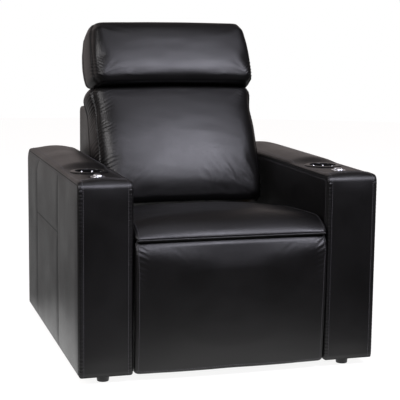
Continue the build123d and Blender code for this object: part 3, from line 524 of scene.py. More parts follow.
def stitches(name, runs, surface):
    """Rows of stitches along runs of points in mm on a surface, all in one mesh."""
    mesh = bmesh.new()
    template = bmesh.new()
    template.from_mesh(stitch_shape.data)
    for run in runs:
        places = laid(even(run, STITCH_PITCH), surface)
        for (a, normal), (b, _) in zip(places, places[1:]):
            ahead = (b - a).normalized()
            across = normal.cross(ahead).normalized()
            up = ahead.cross(across)
            turn = Matrix((ahead, across, up)).transposed().to_4x4()
            turn.translation = (a + b) / 2
            added = {}
            for vertex in template.verts:
                added[vertex.index] = mesh.verts.new(turn @ vertex.co)
            for face in template.faces:
                mesh.faces.new([added[v.index] for v in face.verts])
    template.free()
    return from_bmesh(name, mesh)


def joined(name, pieces):
    """Several pieces made into one."""
    fresh()
    for piece in pieces:
        piece.select_set(True)
    bpy.context.view_layer.objects.active = pieces[0]
    bpy.ops.object.join()
    pieces[0].name = name
    return pieces[0]


def relaxed(piece, times):
    """Even out a mesh by smoothing it."""
    modified(piece, "SMOOTH", factor=0.5, iterations=times)


def shaped(piece, move):
    """Move each point by what move(x, y, z, normal) gives, all in mm."""
    normals = [vertex.normal.copy() for vertex in piece.data.vertices]
    for vertex, normal in zip(piece.data.vertices, normals):
        x, y, z = vertex.co / MM
        vertex.co += Vector(move(x, y, z, normal)) * MM


def mirrored(piece, name):
    """The same piece for the other side of the seat."""
    other = copied(piece, name)
    other.scale = (-1, 1, 1)
    settle(other)
    return facing_out(other)


# ---------------------------------------------------------------- arms
ARM_INNER, ARM_OUTER = 306.0, 473.0
ARM_FRONT, ARM_REAR = -480.0, 508.0
ARM_BOTTOM, ARM_TOP = 25.0, 610.0
ARM_MIDDLE = (ARM_INNER + ARM_OUTER) / 2
FRONT_TOP_RADIUS, REAR_TOP_RADIUS = 20.0, 50.0
EDGE_RADIUS = 9.0
ARC_STEPS = 8
ARM_SLICE = 14.0  # the size of the squares that an arm is cut into before it is shaped
TOP_CROWN, FRONT_PUFF, SIDE_PUFF = 17.0, 4.0, 2.6  # how far the panels swell
SIDE_SINK = 0.8  # how far the seams of the outer side lie in
CUP_Y, SWITCH_Y = -233.0, -364.0
CUP_CUT_RADIUS, SWITCH_CUT = 50.0, (18.5, 22.5)
FITTINGS_Y, FITTINGS_HALF = -285.0, 105.0  # the top is flat here, under the cup holder and the switch
SIDE_SEAM_REAR, SIDE_SEAM_FRONT, SIDE_SEAM_HEIGHT = 288.0, -137.0, 405.0
SIDE_CURVE_FOOT, SIDE_CURVE_DEPTH, SIDE_CURVE_HEIGHT = 530.0, 70.0, 66.0
SEAM_FOOT = ARM_BOTTOM + 4


def arm_profile(inset):
    """The side outline of an arm, from the front foot over the top to the rear foot, as (y, z)."""
    points = [(ARM_FRONT + inset, SEAM_FOOT)]
    for cy, radius, start in (
        (ARM_FRONT + FRONT_TOP_RADIUS, FRONT_TOP_RADIUS, 180),
        (ARM_REAR - REAR_TOP_RADIUS, REAR_TOP_RADIUS, 90),
    ):
        for i in range(ARC_STEPS + 1):
            turn = math.radians(start - 90 * i / ARC_STEPS)
            reach = radius - inset
            points.append((cy + reach * math.cos(turn), ARM_TOP - radius + reach * math.sin(turn)))
    points.append((ARM_REAR - inset, SEAM_FOOT))
    return points


def side_seams():
    """The seams that divide the outer side, as runs of (y, z)."""
    curve = [(SIDE_SEAM_REAR, SEAM_FOOT), (SIDE_SEAM_REAR, SIDE_CURVE_FOOT)]
    for i in range(1, 11):
        turn = math.radians(9 * i)
        forward = SIDE_CURVE_DEPTH * (1 - math.cos(turn))
        curve.append((SIDE_SEAM_REAR - forward, SIDE_CURVE_FOOT + SIDE_CURVE_HEIGHT * math.sin(turn)))
    return [
        curve,
        [(SIDE_SEAM_FRONT, SEAM_FOOT), (SIDE_SEAM_FRONT, SIDE_CURVE_FOOT + SIDE_CURVE_HEIGHT)],
        [(SIDE_SEAM_FRONT, SIDE_SEAM_HEIGHT), (SIDE_SEAM_REAR, SIDE_SEAM_HEIGHT)],
    ]


def from_run(y, z, run):
    """How far (y, z) is from a run of points."""
    nearest = 1e9
    for (ay, az), (by, bz) in zip(run, run[1:]):
        dy, dz = by - ay, bz - az
        t = ((y - ay) * dy + (z - az) * dz) / (dy * dy + dz * dz)
        t = min(max(t, 0.0), 1.0)
        nearest = min(nearest, math.hypot(y - ay - t * dy, z - az - t * dz))
    return nearest


def arm_cover():
    """The leather of one arm, made at +X: a padded box with pulled-in seams and a crowned top."""
    arm = block(
        "right_arm_leather",
        (ARM_INNER * MM, ARM_FRONT * MM, ARM_BOTTOM * MM),
        (ARM_OUTER * MM, ARM_REAR * MM, ARM_TOP * MM),
    )
    top = ARM_TOP * MM - 1e-5
    bevelled(arm, lambda p: p.z > top and p.y < 0, FRONT_TOP_RADIUS, 8)
    bevelled(arm, lambda p: p.z > top and p.y > ARM_REAR * MM - 1e-4, REAR_TOP_RADIUS, 10)
    for x in (ARM_INNER, ARM_OUTER):
        bevelled(arm, lambda p, x=x: abs(p.x - x * MM) < 1e-5, EDGE_RADIUS, 4)
    spans = ((ARM_INNER, ARM_OUTER), (ARM_FRONT, ARM_REAR), (ARM_BOTTOM, ARM_TOP))
    for axis, (first, last) in enumerate(spans):
        sliced(arm, axis, first, last, ARM_SLICE)
    seams = side_seams()
    for vertex in arm.data.vertices:
        x, y, z = (c / MM for c in vertex.co)
        across = (x - ARM_MIDDLE) / (ARM_MIDDLE - ARM_INNER)
        crown = 1 - min(1.0, across * across)
        roll = step(z, ARM_TOP - 16, ARM_TOP)
        ends = step(y, ARM_FRONT - 2, ARM_FRONT + 60) * (1 - step(y, ARM_REAR - 120, ARM_REAR))
        fittings = 1 - step(abs(y - FITTINGS_Y), FITTINGS_HALF, FITTINGS_HALF + 70)
        z += TOP_CROWN * crown * roll * ends * (1 - fittings)
        front = 1 - step(y, ARM_FRONT, ARM_FRONT + 14)
        face = step(z, ARM_BOTTOM, ARM_BOTTOM + 60) * (1 - step(z, ARM_TOP - 50, ARM_TOP - 10))
        y -= FRONT_PUFF * front * crown * face
        outside = step(x, ARM_OUTER - 6, ARM_OUTER)
        if outside > 0:
            near = min(from_run(y, z, run) for run in seams)
            pull = step(near, 0.0, 20.0)
            edge = (
                step(z, ARM_BOTTOM, ARM_BOTTOM + 50)
                * (1 - step(z, ARM_TOP - 70, ARM_TOP - 8))
                * step(y, ARM_FRONT, ARM_FRONT + 50)
                * (1 - step(y, ARM_REAR - 50, ARM_REAR))
            )
            x += outside * (-SIDE_SINK + SIDE_PUFF * pull * edge)
        vertex.co = (x * MM, y * MM, z * MM)
    fresh()
    bpy.ops.mesh.primitive_cylinder_add(
        vertices=64, radius=CUP_CUT_RADIUS * MM, depth=120 * MM,
        location=(ARM_MIDDLE * MM, CUP_Y * MM, 0.6),
    )
    carved(arm, bpy.context.object)
    wide, deep = SWITCH_CUT
    low = ((ARM_MIDDLE - wide) * MM, (SWITCH_Y - deep) * MM, (ARM_TOP - 28) * MM)
    high = ((ARM_MIDDLE + wide) * MM, (SWITCH_Y + deep) * MM, (ARM_TOP + 30) * MM)
    carved(arm, block("switch_cut", low, high))
    return arm


# Width and height of each raised seam on an arm, and of the near-black strips of painted shade where
# two panels meet
CORNER_WELT, FRONT_WELT, GATHERED_STRIP = (3.6, 1.1), (4.0, 1.3), (13.0, 2.6)
CORNER_SHADE_STRIP, SIDE_SHADE_STRIP = (2.4, 0.5), (2.6, 0.6)
FRONT_SEAM_Y = ARM_FRONT + 27  # the seam across the top, just behind the front roll


def arm_seams(arm):
    """The welts, strips of painted shade and rows of thread on one arm: a row of stitches on each side
    of the seam along its two long edges, gathered leather beside them in front, and near-black painted
    shade by the edges and outer seams."""
    surface = surface_of(arm)
    welts, rows, seam_shade_strips = [], [], []
    for x, inward in ((ARM_INNER, 1), (ARM_OUTER, -1)):
        corner = [(x + inward * 2.6, y, z) for y, z in arm_profile(2.6)]
        welts.append(welt("seam", corner, surface, *CORNER_WELT))
        beside = [(x, y, z) for y, z in arm_profile(8.0)]
        # Painted shade: a near-black strip beside each long edge.
        seam_shade_strips.append(welt("seam_shade_strip", beside, surface, *CORNER_SHADE_STRIP))
        rows.append([(x, y, z) for y, z in arm_profile(EDGE_RADIUS + 6)])
        rows.append([(x + inward * (EDGE_RADIUS + 7), y, z) for y, z in arm_profile(0)])
        gathered = [(x + inward * 9, ARM_FRONT - 3, z) for z in range(40, 600, 10)]
        welts.append(welt("seam", gathered, surface, *GATHERED_STRIP, 2.0, bead=0.16, bead_pitch=11.0))
    across = [(x, FRONT_SEAM_Y, ARM_TOP + 6) for x in (ARM_INNER + 10, ARM_OUTER - 10)]
    welts.append(welt("seam", across, surface, *FRONT_WELT))
    rows.append([(x, y + 8, z) for x, y, z in across])
    for run in side_seams():
        # Painted shade: near-black strips along the seams of the outer side.
        seam_shade_strips.append(welt("seam_shade_strip", [(ARM_OUTER, y, z) for y, z in run], surface, *SIDE_SHADE_STRIP))
    return (
        joined("right_arm_seams", welts),
        joined("right_arm_seam_shade_strips", seam_shade_strips),
        stitches("right_arm_stitching", rows, surface),
    )


arm = arm_cover()
seams, seam_shade_strips, sewn = arm_seams(arm)
arm_pieces = (
    (arm, "leather", seat_leather),
    (seams, "seams", seat_leather),
    (seam_shade_strips, "seam_shade_strips", seam_shade_finish),
    (sewn, "stitching", thread),
)
for piece, kind, finish in arm_pieces:
    other = mirrored(piece, f"left_arm_{kind}")
    dress(piece, finish, "base")
    dress(other, finish, "base")
    for side, item in (("right", piece), ("left", other)):
        if kind == "leather":
            faces = ("inner", "outer", "front", "rear", "top")
            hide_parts(*[f"{side}_arm_{face}_panel" for face in faces])


# ---------------------------------------------------------------- switches and cup holders
BUTTON_TOP = 615.0
BUTTON_VOXEL, BUTTON_DOME = 0.9, 4.4
GRIP_COUNT, GRIP_RADIUS, GRIP_CIRCLE, GRIP_HEIGHT = 8, 3.6, 43.6, 603.5


def pillow_button(side, end):
    """One chrome button: the CAD button with its top swollen into a shallow pillow."""
    source = f"{side}_{end}_button"
    button = voxels(merged(copied(frame["nodes"][source], source + "_cap")), BUTTON_VOXEL)
    low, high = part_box(source)
    middle = ((low[0] + high[0]) / 2 / MM, (low[1] + high[1]) / 2 / MM)
    half = ((high[0] - low[0]) / 2 / MM, (high[1] - low[1]) / 2 / MM)

    def swell(x, y, z, normal):
        u, v = (x - middle[0]) / half[0], (y - middle[1]) / half[1]
        dome = max(0.0, 1 - abs(u) ** 4) * math.sqrt(max(0.0, 1 - v * v))
        return (0, 0, BUTTON_DOME * dome * step(z, BUTTON_TOP - 2.5, BUTTON_TOP))

    shaped(button, swell)
    relaxed(button, 2)
    dress(button, chrome, source)
    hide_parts(source)


def cup_grips(side, way):
    """Small polished ribs just inside the rim of a cup holder, which keep a cup centred."""
    ribs = []
    for k in range(GRIP_COUNT):
        turn = math.radians((k + 0.5) * 360 / GRIP_COUNT)
        fresh()
        bpy.ops.mesh.primitive_uv_sphere_add(
            segments=14, ring_count=10, radius=GRIP_RADIUS * MM,
            location=(
                (way * ARM_MIDDLE + GRIP_CIRCLE * math.cos(turn)) * MM,
                (CUP_Y + GRIP_CIRCLE * math.sin(turn)) * MM,
                GRIP_HEIGHT * MM,
            ),
        )
        rib = bpy.context.object
        rib.scale = (1.0, 1.0, 1.5)
        settle(rib)
        ribs.append(rib)
    dress(joined(f"{side}_cup_grips", ribs), chrome, "base")


for side, way in (("left", -1), ("right", 1)):
    cup_grips(side, way)
    for end in ("front", "rear"):
        pillow_button(side, end)


# ---------------------------------------------------------------- soft forms
CLOTH_FRAMES, CLOTH_QUALITY, CLOTH_MASS = 12, 3, 0.3
SKIN_PITCH, SEAM_PITCH = 4.0, 3.0


def inflated(piece, held, pressure, cap):
    """Blow a cushion up as cloth with its held points pinned, and keep the shape that it takes. No
    point moves further than the cap, in mm."""
    start = [vertex.co.copy() for vertex in piece.data.vertices]
    pins = piece.vertex_groups.new(name="held")
    for vertex in piece.data.vertices:
        pins.add([vertex.index], float(held(vertex.co / MM)), "REPLACE")
    cloth = piece.modifiers.new("cloth", "CLOTH")
    cloth.settings.quality = CLOTH_QUALITY
    cloth.settings.mass = CLOTH_MASS
    cloth.settings.vertex_group_mass = "held"
    cloth.settings.use_pressure = True
    cloth.settings.uniform_pressure_force = pressure
    cloth.settings.effector_weights.gravity = 0
    cloth.point_cache.frame_start, cloth.point_cache.frame_end = 1, CLOTH_FRAMES
    scene = bpy.context.scene
    for number in range(1, CLOTH_FRAMES + 1):
        scene.frame_set(number)
    swollen = piece.evaluated_get(bpy.context.evaluated_depsgraph_get()).data
    places = [vertex.co.copy() for vertex in swollen.vertices]
    piece.modifiers.remove(cloth)
    piece.vertex_groups.clear()
    for vertex, old, new in zip(piece.data.vertices, start, places):
        move = new - old
        if move.length > cap * MM:
            move *= cap * MM / move.length
        vertex.co = old + move
    scene.frame_set(1)


def finer(piece):
    """One subdivision, applied."""
    modified(piece, "SUBSURF", levels=1, render_levels=1)


def cushion_from(node_name, name, voxel):
    """The CAD cushion as an even mesh, ready to be shaped."""
    return voxels(merged(copied(frame["nodes"][node_name], name)), voxel)


def on_skin(piece, runs):
    """Runs of points brought onto a piece, in mm."""
    surface = surface_of(piece)
    return [[place / MM for place, _ in laid(even(run, SKIN_PITCH), surface)] for run in runs]


def both_sides(x, points):
    """One run of (y, z) points on each side of the seat, the left one first."""
    return [[(side * x, y, z) for y, z in points] for side in (-1, 1)]


def grooved(piece, runs, depth, width):
    """Pull a cushion in along its seams, which lie on it as runs of points."""
    places = [place for run in runs for place in run]
    near = KDTree(len(places))
    for i, place in enumerate(places):
        near.insert(place, i)
    near.balance()

    def pull(x, y, z, normal):
        gap = near.find((x, y, z))[2]
        return normal * (-depth * math.exp(-((gap / width) ** 2)))

    shaped(piece, pull)


def sewn_seams(name, piece, runs, body, width, height, offsets=()):
    """Welts along the runs, and rows of stitches along the runs shifted by each offset."""
    surface = surface_of(piece)
    welts = [welt("seam", run, surface, width, height, SEAM_PITCH) for run in runs]
    dress(joined(f"{name}_seams", welts), seat_leather, body)
    rows = [[Vector(place) + Vector(offset) for place in run] for run, offset in offsets]
    if rows:
        dress(stitches(f"{name}_stitching", rows, surface), thread, body)


LEAN = math.radians(21.5)
BACK_FOOT = (178.5, 410.0)  # (y, z) of the rear foot of the back cushion
# Each cushion of the back by height along the lean: (height, half width, rear, front at the sides)
BACK_FORM = [
    (0.0, 284.0, 8.0, 128.0), (18.0, 297.0, 0.0, 150.0), (150.0, 298.0, 0.0, 172.0),
    (290.0, 295.0, 2.0, 158.0), (400.0, 290.0, 5.0, 132.0), (421.0, 278.0, 14.0, 112.0),
]
BACK_SEAM = [(64, 6), (56, 110), (40, 220), (28, 310), (20, 395), (26, 416)]  # (depth, height)
HEAD_FORM = [
    (422.0, 282.0, 74.0, 168.0), (444.0, 297.0, 44.0, 182.0), (500.0, 298.0, 14.0, 184.0),
    (565.0, 296.0, 12.0, 178.0), (622.0, 290.0, 32.0, 166.0), (652.0, 276.0, 62.0, 142.0),
]
HEAD_SEAM = [  # (x, depth, height) from the middle of the foot over one side to the middle of the top
    (0, 84, 418), (150, 84, 418), (276, 80, 426), (300, 62, 445), (304, 44, 500), (304, 42, 570),
    (298, 48, 625), (276, 62, 654), (150, 68, 660), (0, 68, 660),
]
SQUARENESS = 2.6  # of the rolls at a cushion's front corners: 2 is round, and more is fuller


def leaned(y, z):
    """How far a place is in front of the back's rear plane, and how high it is along the lean."""
    dy, dz = y - BACK_FOOT[0], z - BACK_FOOT[1]
    return (
        dz * math.sin(LEAN) - dy * math.cos(LEAN),
        dy * math.sin(LEAN) + dz * math.cos(LEAN),
    )


def upright(x, depth, height):
    """The place in the world of a depth and a height along the lean."""
    return (
        x,
        BACK_FOOT[0] + height * math.sin(LEAN) - depth * math.cos(LEAN),
        BACK_FOOT[1] + height * math.cos(LEAN) + depth * math.sin(LEAN),
    )


def form_at(form, height):
    """Half width, rear and front of a cushion at one height."""
    for low, high in zip(form, form[1:]):
        if height <= high[0] or high is form[-1]:
            t = min(max((height - low[0]) / (high[0] - low[0]), 0.0), 1.0)
            return [a + (b - a) * t for a, b in zip(low[1:], high[1:])]


def rolled(piece, form, across, deep):
    """Turn a cushion's two front corners into wide, full rolls."""

    def round_off(x, y, z, normal):
        depth, height = leaned(y, z)
        half, rear, front = form_at(form, height)
        low = max(front - deep, rear + 8)
        u = (abs(x) - half + across) / across
        w = (depth - low) / (front - low)
        if u <= 0 or w <= 0:
            return (0, 0, 0)
        share = 1 - max(u, w) / (u**SQUARENESS + w**SQUARENESS) ** (1 / SQUARENESS)
        side = math.copysign(1, x)
        forward = -w * share * (front - low)
        return (-side * u * share * across, -forward * math.cos(LEAN), forward * math.sin(LEAN))

    shaped(piece, round_off)


# Pitch and height of each kind of fold, in mm
GATHERS, LONG_FOLDS, CORNER_PUCKERS = (13, 0.95), (34, 0.5), (12, 0.8)
PAD_DRAWS, PAD_TUGS, SEAT_DRAWS = (21, 0.05), (17, 0.55), (19, 0.07)
BACK_UNEVEN, HEAD_UNEVEN = 0.36, 0.3


def back_gathers(x, y, z, normal):
    """Short slanting folds that run into the side seams, longer ones at the lower right, and a face
    that is a little uneven all over."""
    depth, height = leaned(y, z)
    half, _, front = form_at(BACK_FORM, height)
    inside = half - abs(x) - max(front - depth, 0) * 0.6
    behind = depth - (58 - 0.08 * height)
    if behind < 0:
        return (0, 0, 0)
    forward = max(normal[2] * math.sin(LEAN) - normal[1] * math.cos(LEAN), 0)
    side = math.copysign(1, x)
    patch = 0.55 + 1.1 * noise.noise(Vector((side * 3, height / 55, inside / 60)))
    slant = (0.12 + 0.3 * height / 400) * inside
    pitch, deep = GATHERS
    fold = folds(height - slant, pitch, 3.2, x / 30, 7, height / 30)
    reach = step(behind, 0, 18) * (1 - step(inside, 10, 84))
    strength = 1.0 if side < 0 else step(height, 260, 380)
    out = deep * patch * strength * reach * fold * step(height, 30, 90)
    if x > 0:
        run = x * 0.82 + (height - 60) * 0.45
        area = band(x, 20, 90, 190, 270) * band(height, 14, 50, 90, 170)
        pitch, deep = LONG_FOLDS
        out += deep * area * forward * folds(run, pitch, 2.6, x / 50, 3, height / 60)
    out += BACK_UNEVEN * forward * noise.noise(Vector((x / 90, height / 30 + x / 160, 4)))
    return Vector(normal) * out


def head_gathers(x, y, z, normal):
    """A few puckers at the two lower corners of the headrest, and a face that is a little uneven."""
    depth, height = leaned(y, z)
    if depth <= 40:
        return (0, 0, 0)
    inside = 298 - abs(x)
    corner = band(height, 428, 440, 470, 545) * band(inside, 0, 10, 24, 60)
    pitch, deep = CORNER_PUCKERS
    out = deep * corner * folds(height + 0.9 * inside, pitch, 2, x / 30, 5, height / 25)
    return Vector(normal) * (out + HEAD_UNEVEN * noise.noise(Vector((x / 80, height / 30, 8))))


def pad_puckers(x, y, z, normal):
    """Fine vertical draws below the top seam of the pad, and slanting ones along its two sides."""
    if y >= -470:
        return (0, 0, 0)
    pitch, deep = PAD_DRAWS
    out = deep * band(z, 330, 400, 418, 426) * folds(x, pitch, 3, x / 70, z / 200, 1)
    sides = band(300 - abs(x), 2, 8, 14, 44) * step(z, 60, 120) * step(z, 200, 360)
    pitch, deep = PAD_TUGS
    out += deep * sides * folds(z - 0.5 * abs(x), pitch, 2, x / 40, z / 60, 2)
    return Vector(normal) * out


SEAT_ROLL = (-395.0, 371.0)  # (y, z) of the middle of the CAD roll
ROLL_TURN, ROLL_FILL = 56, 3.2  # the degrees of the roll that are filled out, and by how many mm


def seat_roll(x, y, z, normal):
    """Fill out the front roll a little, so that it turns down later."""
    turn = math.degrees(math.atan2(SEAT_ROLL[0] - y, z - SEAT_ROLL[1]))
    if not 0 < turn < ROLL_TURN or z < 438:
        return (0, 0, 0)
    return Vector(normal) * ROLL_FILL * math.sin(math.pi * turn / ROLL_TURN)


def seat_puckers(x, y, z, normal):
    """Fine draws across the front roll, pulled down by the seam."""
    roll = (1 - step(y, -470, -410)) * step(z, 436, 446)
    pitch, deep = SEAT_DRAWS
    return Vector(normal) * (deep * roll * folds(x, pitch, 3, x / 60, y / 90, 9))


# Seat cushion: resting on its belts and held along the seam above the footrest
seat = cushion_from("seat_cushion", "seat_cushion_leather", 6.5)
shaped(seat, seat_roll)
relaxed(seat, 4)


def seat_held(p):
    """The edges of the seat cushion that rest on its frame or are sewn down."""
    return p.z < 430 or p.y > 30 or (p.z < 446 and p.y < -470) or abs(p.x) > 296


inflated(seat, seat_held, pressure=1.6, cap=6.0)
relaxed(seat, 4)
finer(seat)
seat_edge = [(-494, 441), (-478, 462), (-440, 477), (-380, 481), (-200, 478), (60, 446)]
seat_runs = on_skin(seat, both_sides(304, seat_edge))
grooved(seat, seat_runs, 1.6, 5.0)
shaped(seat, seat_puckers)
lip = [(x, -496.0, 435.6) for x in (-301, -150, 0, 150, 301)]
piping = welt("seat_lip_piping", lip, None, 5.0, 2.4, 3.0, sink=0.0)
dress(piping, seat_leather, "seat")
lip_row = [(x, -500.0, 443.5) for x in (-296, -150, 0, 150, 296)]
sewn_seams(
    "seat_cushion", seat, seat_runs, "seat", 3.4, 1.2,
    [(lip_row, (0, 0, 0)), (seat_runs[0], (8, 3, 3)), (seat_runs[1], (-8, 3, 3))],
)
dress(seat, seat_leather, "seat")
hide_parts("seat_cushion")

# Footrest pad: stapled to its board behind, so only its face swells
pad = cushion_from("footrest_pad", "footrest_pad_leather", 6.0)
relaxed(pad, 2)


def pad_held(p):
    """The edges of the footrest pad that are stapled to its board."""
    return p.y > -478 or p.z > 416 or p.z < 40 or abs(p.x) > 292


inflated(pad, pad_held, pressure=1.2, cap=4.0)
relaxed(pad, 3)
finer(pad)
pad_edge = [(-484, 427), (-493, 400), (-498, 330), (-496, 200), (-490, 90), (-484, 29)]
pad_foot = [(-298, -480, 28), (0, -492, 28), (298, -480, 28)]
pad_runs = on_skin(pad, [*both_sides(300, pad_edge), pad_foot])
grooved(pad, pad_runs[:2], 1.2, 4.0)
shaped(pad, pad_puckers)
across_pad = (-300, -285, -260, -200, -100, 0, 100, 200, 260, 285, 300)
head_of_pad = [(x, -487.5 + 9 * abs(x / 303) ** 4, 429.4) for x in across_pad]
piping = welt("footrest_piping", head_of_pad, None, 5.0, 2.6, 3.0, sink=0.0)
dress(piping, seat_leather, "footrest")
top_row = [(x, y - 6, 422.5) for x, y, _ in head_of_pad]
sewn_seams(
    "footrest_pad", pad, pad_runs, "footrest", 3.0, 1.2,
    [(top_row, (0, 0, 0)), *zip(pad_runs, ((7, -2, 0), (-7, -2, 0), (0, -2, 8)))],
)
dress(pad, seat_leather, "footrest")
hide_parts("footrest_pad")

# Back cushion: the front cover wraps far round both sides, where it is gathered into a seam
back = cushion_from("back_cushion", "back_cushion_leather", 5.5)
rolled(back, BACK_FORM, 66, 140)


def fill_top(x, y, z, normal):
    """Keep the back cushion full right up to the headrest."""
    _, height = leaned(y, z)
    rise = 11.0 * step(height, 385, 412)
    wider = x * 0.045 * step(height, 330, 412)
    return (wider, rise * math.sin(LEAN), rise * math.cos(LEAN))


def full_foot(form, most, low, high):
    """A move that lets the face of a cushion hang nearly straight down to its foot."""

    def move(x, y, z, normal):
        depth, height = leaned(y, z)
        front = form_at(form, height)[2]
        out = most * (1 - step(height, low, high)) * step(depth, front - 70, front - 5)
        return (0, -out * math.cos(LEAN), out * math.sin(LEAN))

    return move


shaped(back, fill_top)
shaped(back, full_foot(BACK_FORM, 15.0, 16, 150))
relaxed(back, 8)


def back_held(p):
    """The edges of the back cushion that its frame and its seams keep in place."""
    depth, height = leaned(p.y, p.z)
    return depth < 60 or height < 14 or height > 396 or abs(p.x) > 286


inflated(back, back_held, pressure=1.6, cap=9.0)
relaxed(back, 4)
finer(back)
back_runs = on_skin(back, both_sides(306, [upright(0, *place)[1:] for place in BACK_SEAM]))
grooved(back, back_runs, 3.0, 6.0)
shaped(back, back_gathers)
sewn_seams("back_cushion", back, back_runs, "backrest", 3.4, 1.2)
dress(back, seat_leather, "backrest")
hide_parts("back_cushion")

# Headrest: a thick wrap with its seam well back on the sides and over the top
head = cushion_from("headrest_cushion", "headrest_leather", 5.5)
rolled(head, HEAD_FORM, 44, 140)
shaped(head, full_foot(HEAD_FORM, 10.0, 432, 520))
relaxed(head, 8)


def head_held(p):
    """The edges of the headrest that its seams keep in place."""
    depth, height = leaned(p.y, p.z)
    return depth < 70 or height < 440 or height > 636 or abs(p.x) > 284


inflated(head, head_held, pressure=1.6, cap=7.0)
relaxed(head, 4)
finer(head)
head_loop = [upright(-x, depth, height) for x, depth, height in HEAD_SEAM]
head_loop += [upright(x, depth, height) for x, depth, height in HEAD_SEAM[-2::-1]]
head_runs = on_skin(head, [head_loop])
grooved(head, head_runs, 2.6, 6.0)
shaped(head, head_gathers)
sewn_seams("headrest", head, head_runs, "headrest", 3.4, 1.2)
dress(head, seat_leather, "headrest")
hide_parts("headrest_cushion")

# Back shell: four panels wrapped in one cover, with seams round its rear and across it
shell_nodes = ["back_top_panel", "back_rear_panel", "left_back_side_panel", "right_back_side_panel"]
panels = [copied(frame["nodes"][name], name + "_skin") for name in shell_nodes]
shell = merged(joined("back_shell_leather", panels))
voxels(shell, 5.0)
relaxed(shell, 5)
shell_edges = both_sides(300, [(486, z) for z in (312, 430, 754)])
shell_edges += [[(x, 489, z) for x in (-296, 0, 296)] for z in (757, 560)]
shell_runs = on_skin(shell, shell_edges)
shell_rows = list(zip(shell_runs, ((9, 0, 0), (-9, 0, 0), (0, 0, -9), (0, 0, -7))))
sewn_seams("back_shell", shell, shell_runs, "backrest", 3.0, 1.0, shell_rows)
# Painted light: the shell's paler hide stands in for the light on its side.
dress(shell, lit_side_leather, "backrest")
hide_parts(*shell_nodes)

bpy.data.objects.remove(stitch_shape)

# ---------------------------------------------------------------- studio
CAMERA_PLACE = (-1.1077, -3.8405, 1.0864)
CAMERA_YAW, CAMERA_PITCH, CAMERA_ROLL = 16.63, 8.71, 0.635
FOCAL_LENGTH = 107.1
# A reflection sees the backdrop where it points at the rear: from where to where it brightens, and
# how bright it is outside and inside
BACKDROP_FROM, BACKDROP_FULL, BACKDROP_DIM, BACKDROP_BRIGHT = 0.5, 0.93, 0.04, 0.5
FILL, WARM_WHITE = 0.4, "fff1ee"
FLOOR_RADIUS, FLOOR_GLOW = 9.0, 0.9
POOL_FULL, POOL_END, POOL_LIGHT = 0.5, 1.15, 1.3  # metres from the seat's middle, and its brightness
FLOOR_GREY, FLOOR_IN_GLOSS = "7c7a79", "2a2928"
LAMPS = [  # name, place, the point it looks at, width, height, watts, colour
    ("front_softbox", (1.7, -4.1, 4.3), (0, 0, 0.7), 2.0, 1.5, 295, "f1f0ff"),
    ("left_softbox", (-4.2, -1.4, 3.2), (0, 0, 0.8), 3.4, 1.6, 135, "faf7f8"),
    ("front_left_softbox", (-2.0, -3.8, 3.9), (0, 0, 0.8), 2.0, 1.3, 45, "f4f3ff"),
    ("overhead_softbox", (0.3, -0.4, 3.4), (0, -0.1, 0.5), 1.6, 1.2, 8, "f6f5ff"),
]


def camera():
    """The photograph's camera, found by fitting its lines to the arms."""
    yaw, pitch, roll = map(math.radians, (CAMERA_YAW, CAMERA_PITCH, CAMERA_ROLL))
    ahead = Vector((math.sin(yaw) * math.cos(pitch), math.cos(yaw) * math.cos(pitch), -math.sin(pitch)))
    level = Vector((math.cos(yaw), -math.sin(yaw), 0))
    overhead = level.cross(ahead)
    right = level * math.cos(roll) + overhead * math.sin(roll)
    up = overhead * math.cos(roll) - level * math.sin(roll)
    data = bpy.data.cameras.new("camera")
    data.lens, data.sensor_width = FOCAL_LENGTH, 36.0
    made = placed("camera", data)
    made.matrix_world = Matrix((right, up, -ahead)).transposed().to_4x4()
    made.location = CAMERA_PLACE
    bpy.context.scene.camera = made


def softbox(name, place, target, width, height, power, colour):
    """A rectangular lamp that looks at a point."""
    data = bpy.data.lights.new(name, "AREA")
    data.shape, data.size, data.size_y = "RECTANGLE", width, height
    data.energy, data.color = power, linear(colour)[:3]
    lamp = placed(name, data)
    lamp.location = place
    lamp.rotation_euler = (Vector(target) - Vector(place)).to_track_quat("-Z", "Y").to_euler()


def seen_directly(tree, path, behind):
    """1 where the camera or glass sees the surface, and 0 for the light that it gives. A gloss or a
    mirror sees the white backdrop behind the seat, and the dim studio on its other sides."""
    backdrop = node(
        tree, "MapRange",
        {"Value": behind, 1: BACKDROP_FROM, 2: BACKDROP_FULL, 3: BACKDROP_DIM, 4: BACKDROP_BRIGHT},
        interpolation_type="SMOOTHSTEP",
    )
    glossy = node(tree, "Math", {0: path.outputs["Is Glossy Ray"], 1: backdrop}, operation="MULTIPLY")
    either = node(tree, "Math", {0: path.outputs["Is Camera Ray"], 1: glossy}, operation="MAXIMUM")
    through = path.outputs["Is Transmission Ray"]
    return node(tree, "Math", {0: either, 1: through}, operation="MAXIMUM")


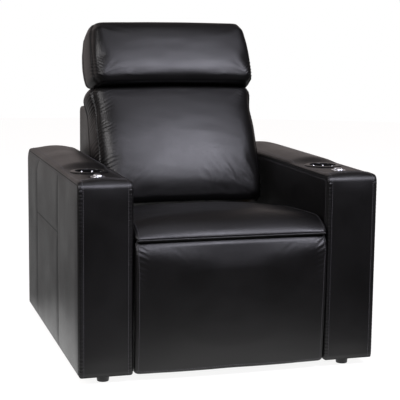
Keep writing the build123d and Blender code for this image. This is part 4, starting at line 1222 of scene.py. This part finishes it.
def surround():
    """The world: white for the camera, a soft fill for matt surfaces, faintly warm in reflections."""
    world = bpy.data.worlds.new("studio")
    bpy.context.scene.world = world
    world.use_nodes = True
    tree = world.node_tree
    path = node(tree, "LightPath")
    around = node(tree, "TexCoord").outputs["Generated"]
    way = node(tree, "SeparateXYZ", {0: around}).outputs["Y"]
    fill = node(tree, "Math", {0: path.outputs["Is Diffuse Ray"], 1: FILL}, operation="MULTIPLY")
    strength = node(tree, "Math", {0: seen_directly(tree, path, way), 1: fill}, operation="MAXIMUM")
    colours = {"Color1": linear(WARM_WHITE), "Color2": linear("ffffff")}
    warmth = node(tree, "MixRGB", {"Fac": path.outputs["Is Camera Ray"], **colours})
    background = tree.nodes["Background"]
    link(tree, strength, background.inputs["Strength"])
    link(tree, warmth, background.inputs["Color"])


def pale_floor():
    """A painted studio floor: white to the camera, and in reflections a pool of light right round the
    seat, with a dim floor further off in front of it."""
    fresh()
    bpy.ops.mesh.primitive_circle_add(
        vertices=96, radius=FLOOR_RADIUS, fill_type="NGON", location=(0, 0, 0)
    )
    floor = bpy.context.object
    floor.name = "floor"
    material = bpy.data.materials.new("painted_floor")
    material.use_nodes = True
    tree = material.node_tree
    tree.nodes.clear()
    path = node(tree, "LightPath")
    place = node(tree, "TexCoord").outputs["Object"]
    ahead = node(tree, "VectorMath", {0: place}, operation="NORMALIZE")
    way = node(tree, "SeparateXYZ", {0: ahead}).outputs["Y"]
    far = node(tree, "VectorMath", {0: place}, operation="LENGTH").outputs["Value"]
    pool = node(
        tree, "MapRange", {"Value": far, 1: POOL_FULL, 2: POOL_END, 3: POOL_LIGHT, 4: 0.0},
        interpolation_type="SMOOTHSTEP",
    )
    near = node(tree, "Math", {0: path.outputs["Is Glossy Ray"], 1: pool}, operation="MULTIPLY")
    lit = node(tree, "Math", {0: seen_directly(tree, path, way), 1: near}, operation="MAXIMUM")
    level = node(tree, "Math", {0: lit, 1: FLOOR_GLOW}, operation="MULTIPLY")
    glow = node(tree, "Emission", {"Strength": level})
    colours = {"Color1": linear(FLOOR_GREY), "Color2": linear(FLOOR_IN_GLOSS)}
    shade = node(tree, "MixRGB", {"Fac": path.outputs["Is Glossy Ray"], **colours})
    matt = node(tree, "BsdfDiffuse", {"Color": shade})
    both = node(tree, "AddShader", {0: glow, 1: matt})
    node(tree, "OutputMaterial", {"Surface": both})
    floor.data.materials.append(material)


def studio():
    """Pale floor, white surround, a large softbox in front, two at the left and a faint one above."""
    surround()
    pale_floor()
    for lamp in LAMPS:
        softbox(*lamp)
    bpy.context.scene.view_settings.view_transform = "Standard"


camera()
studio()
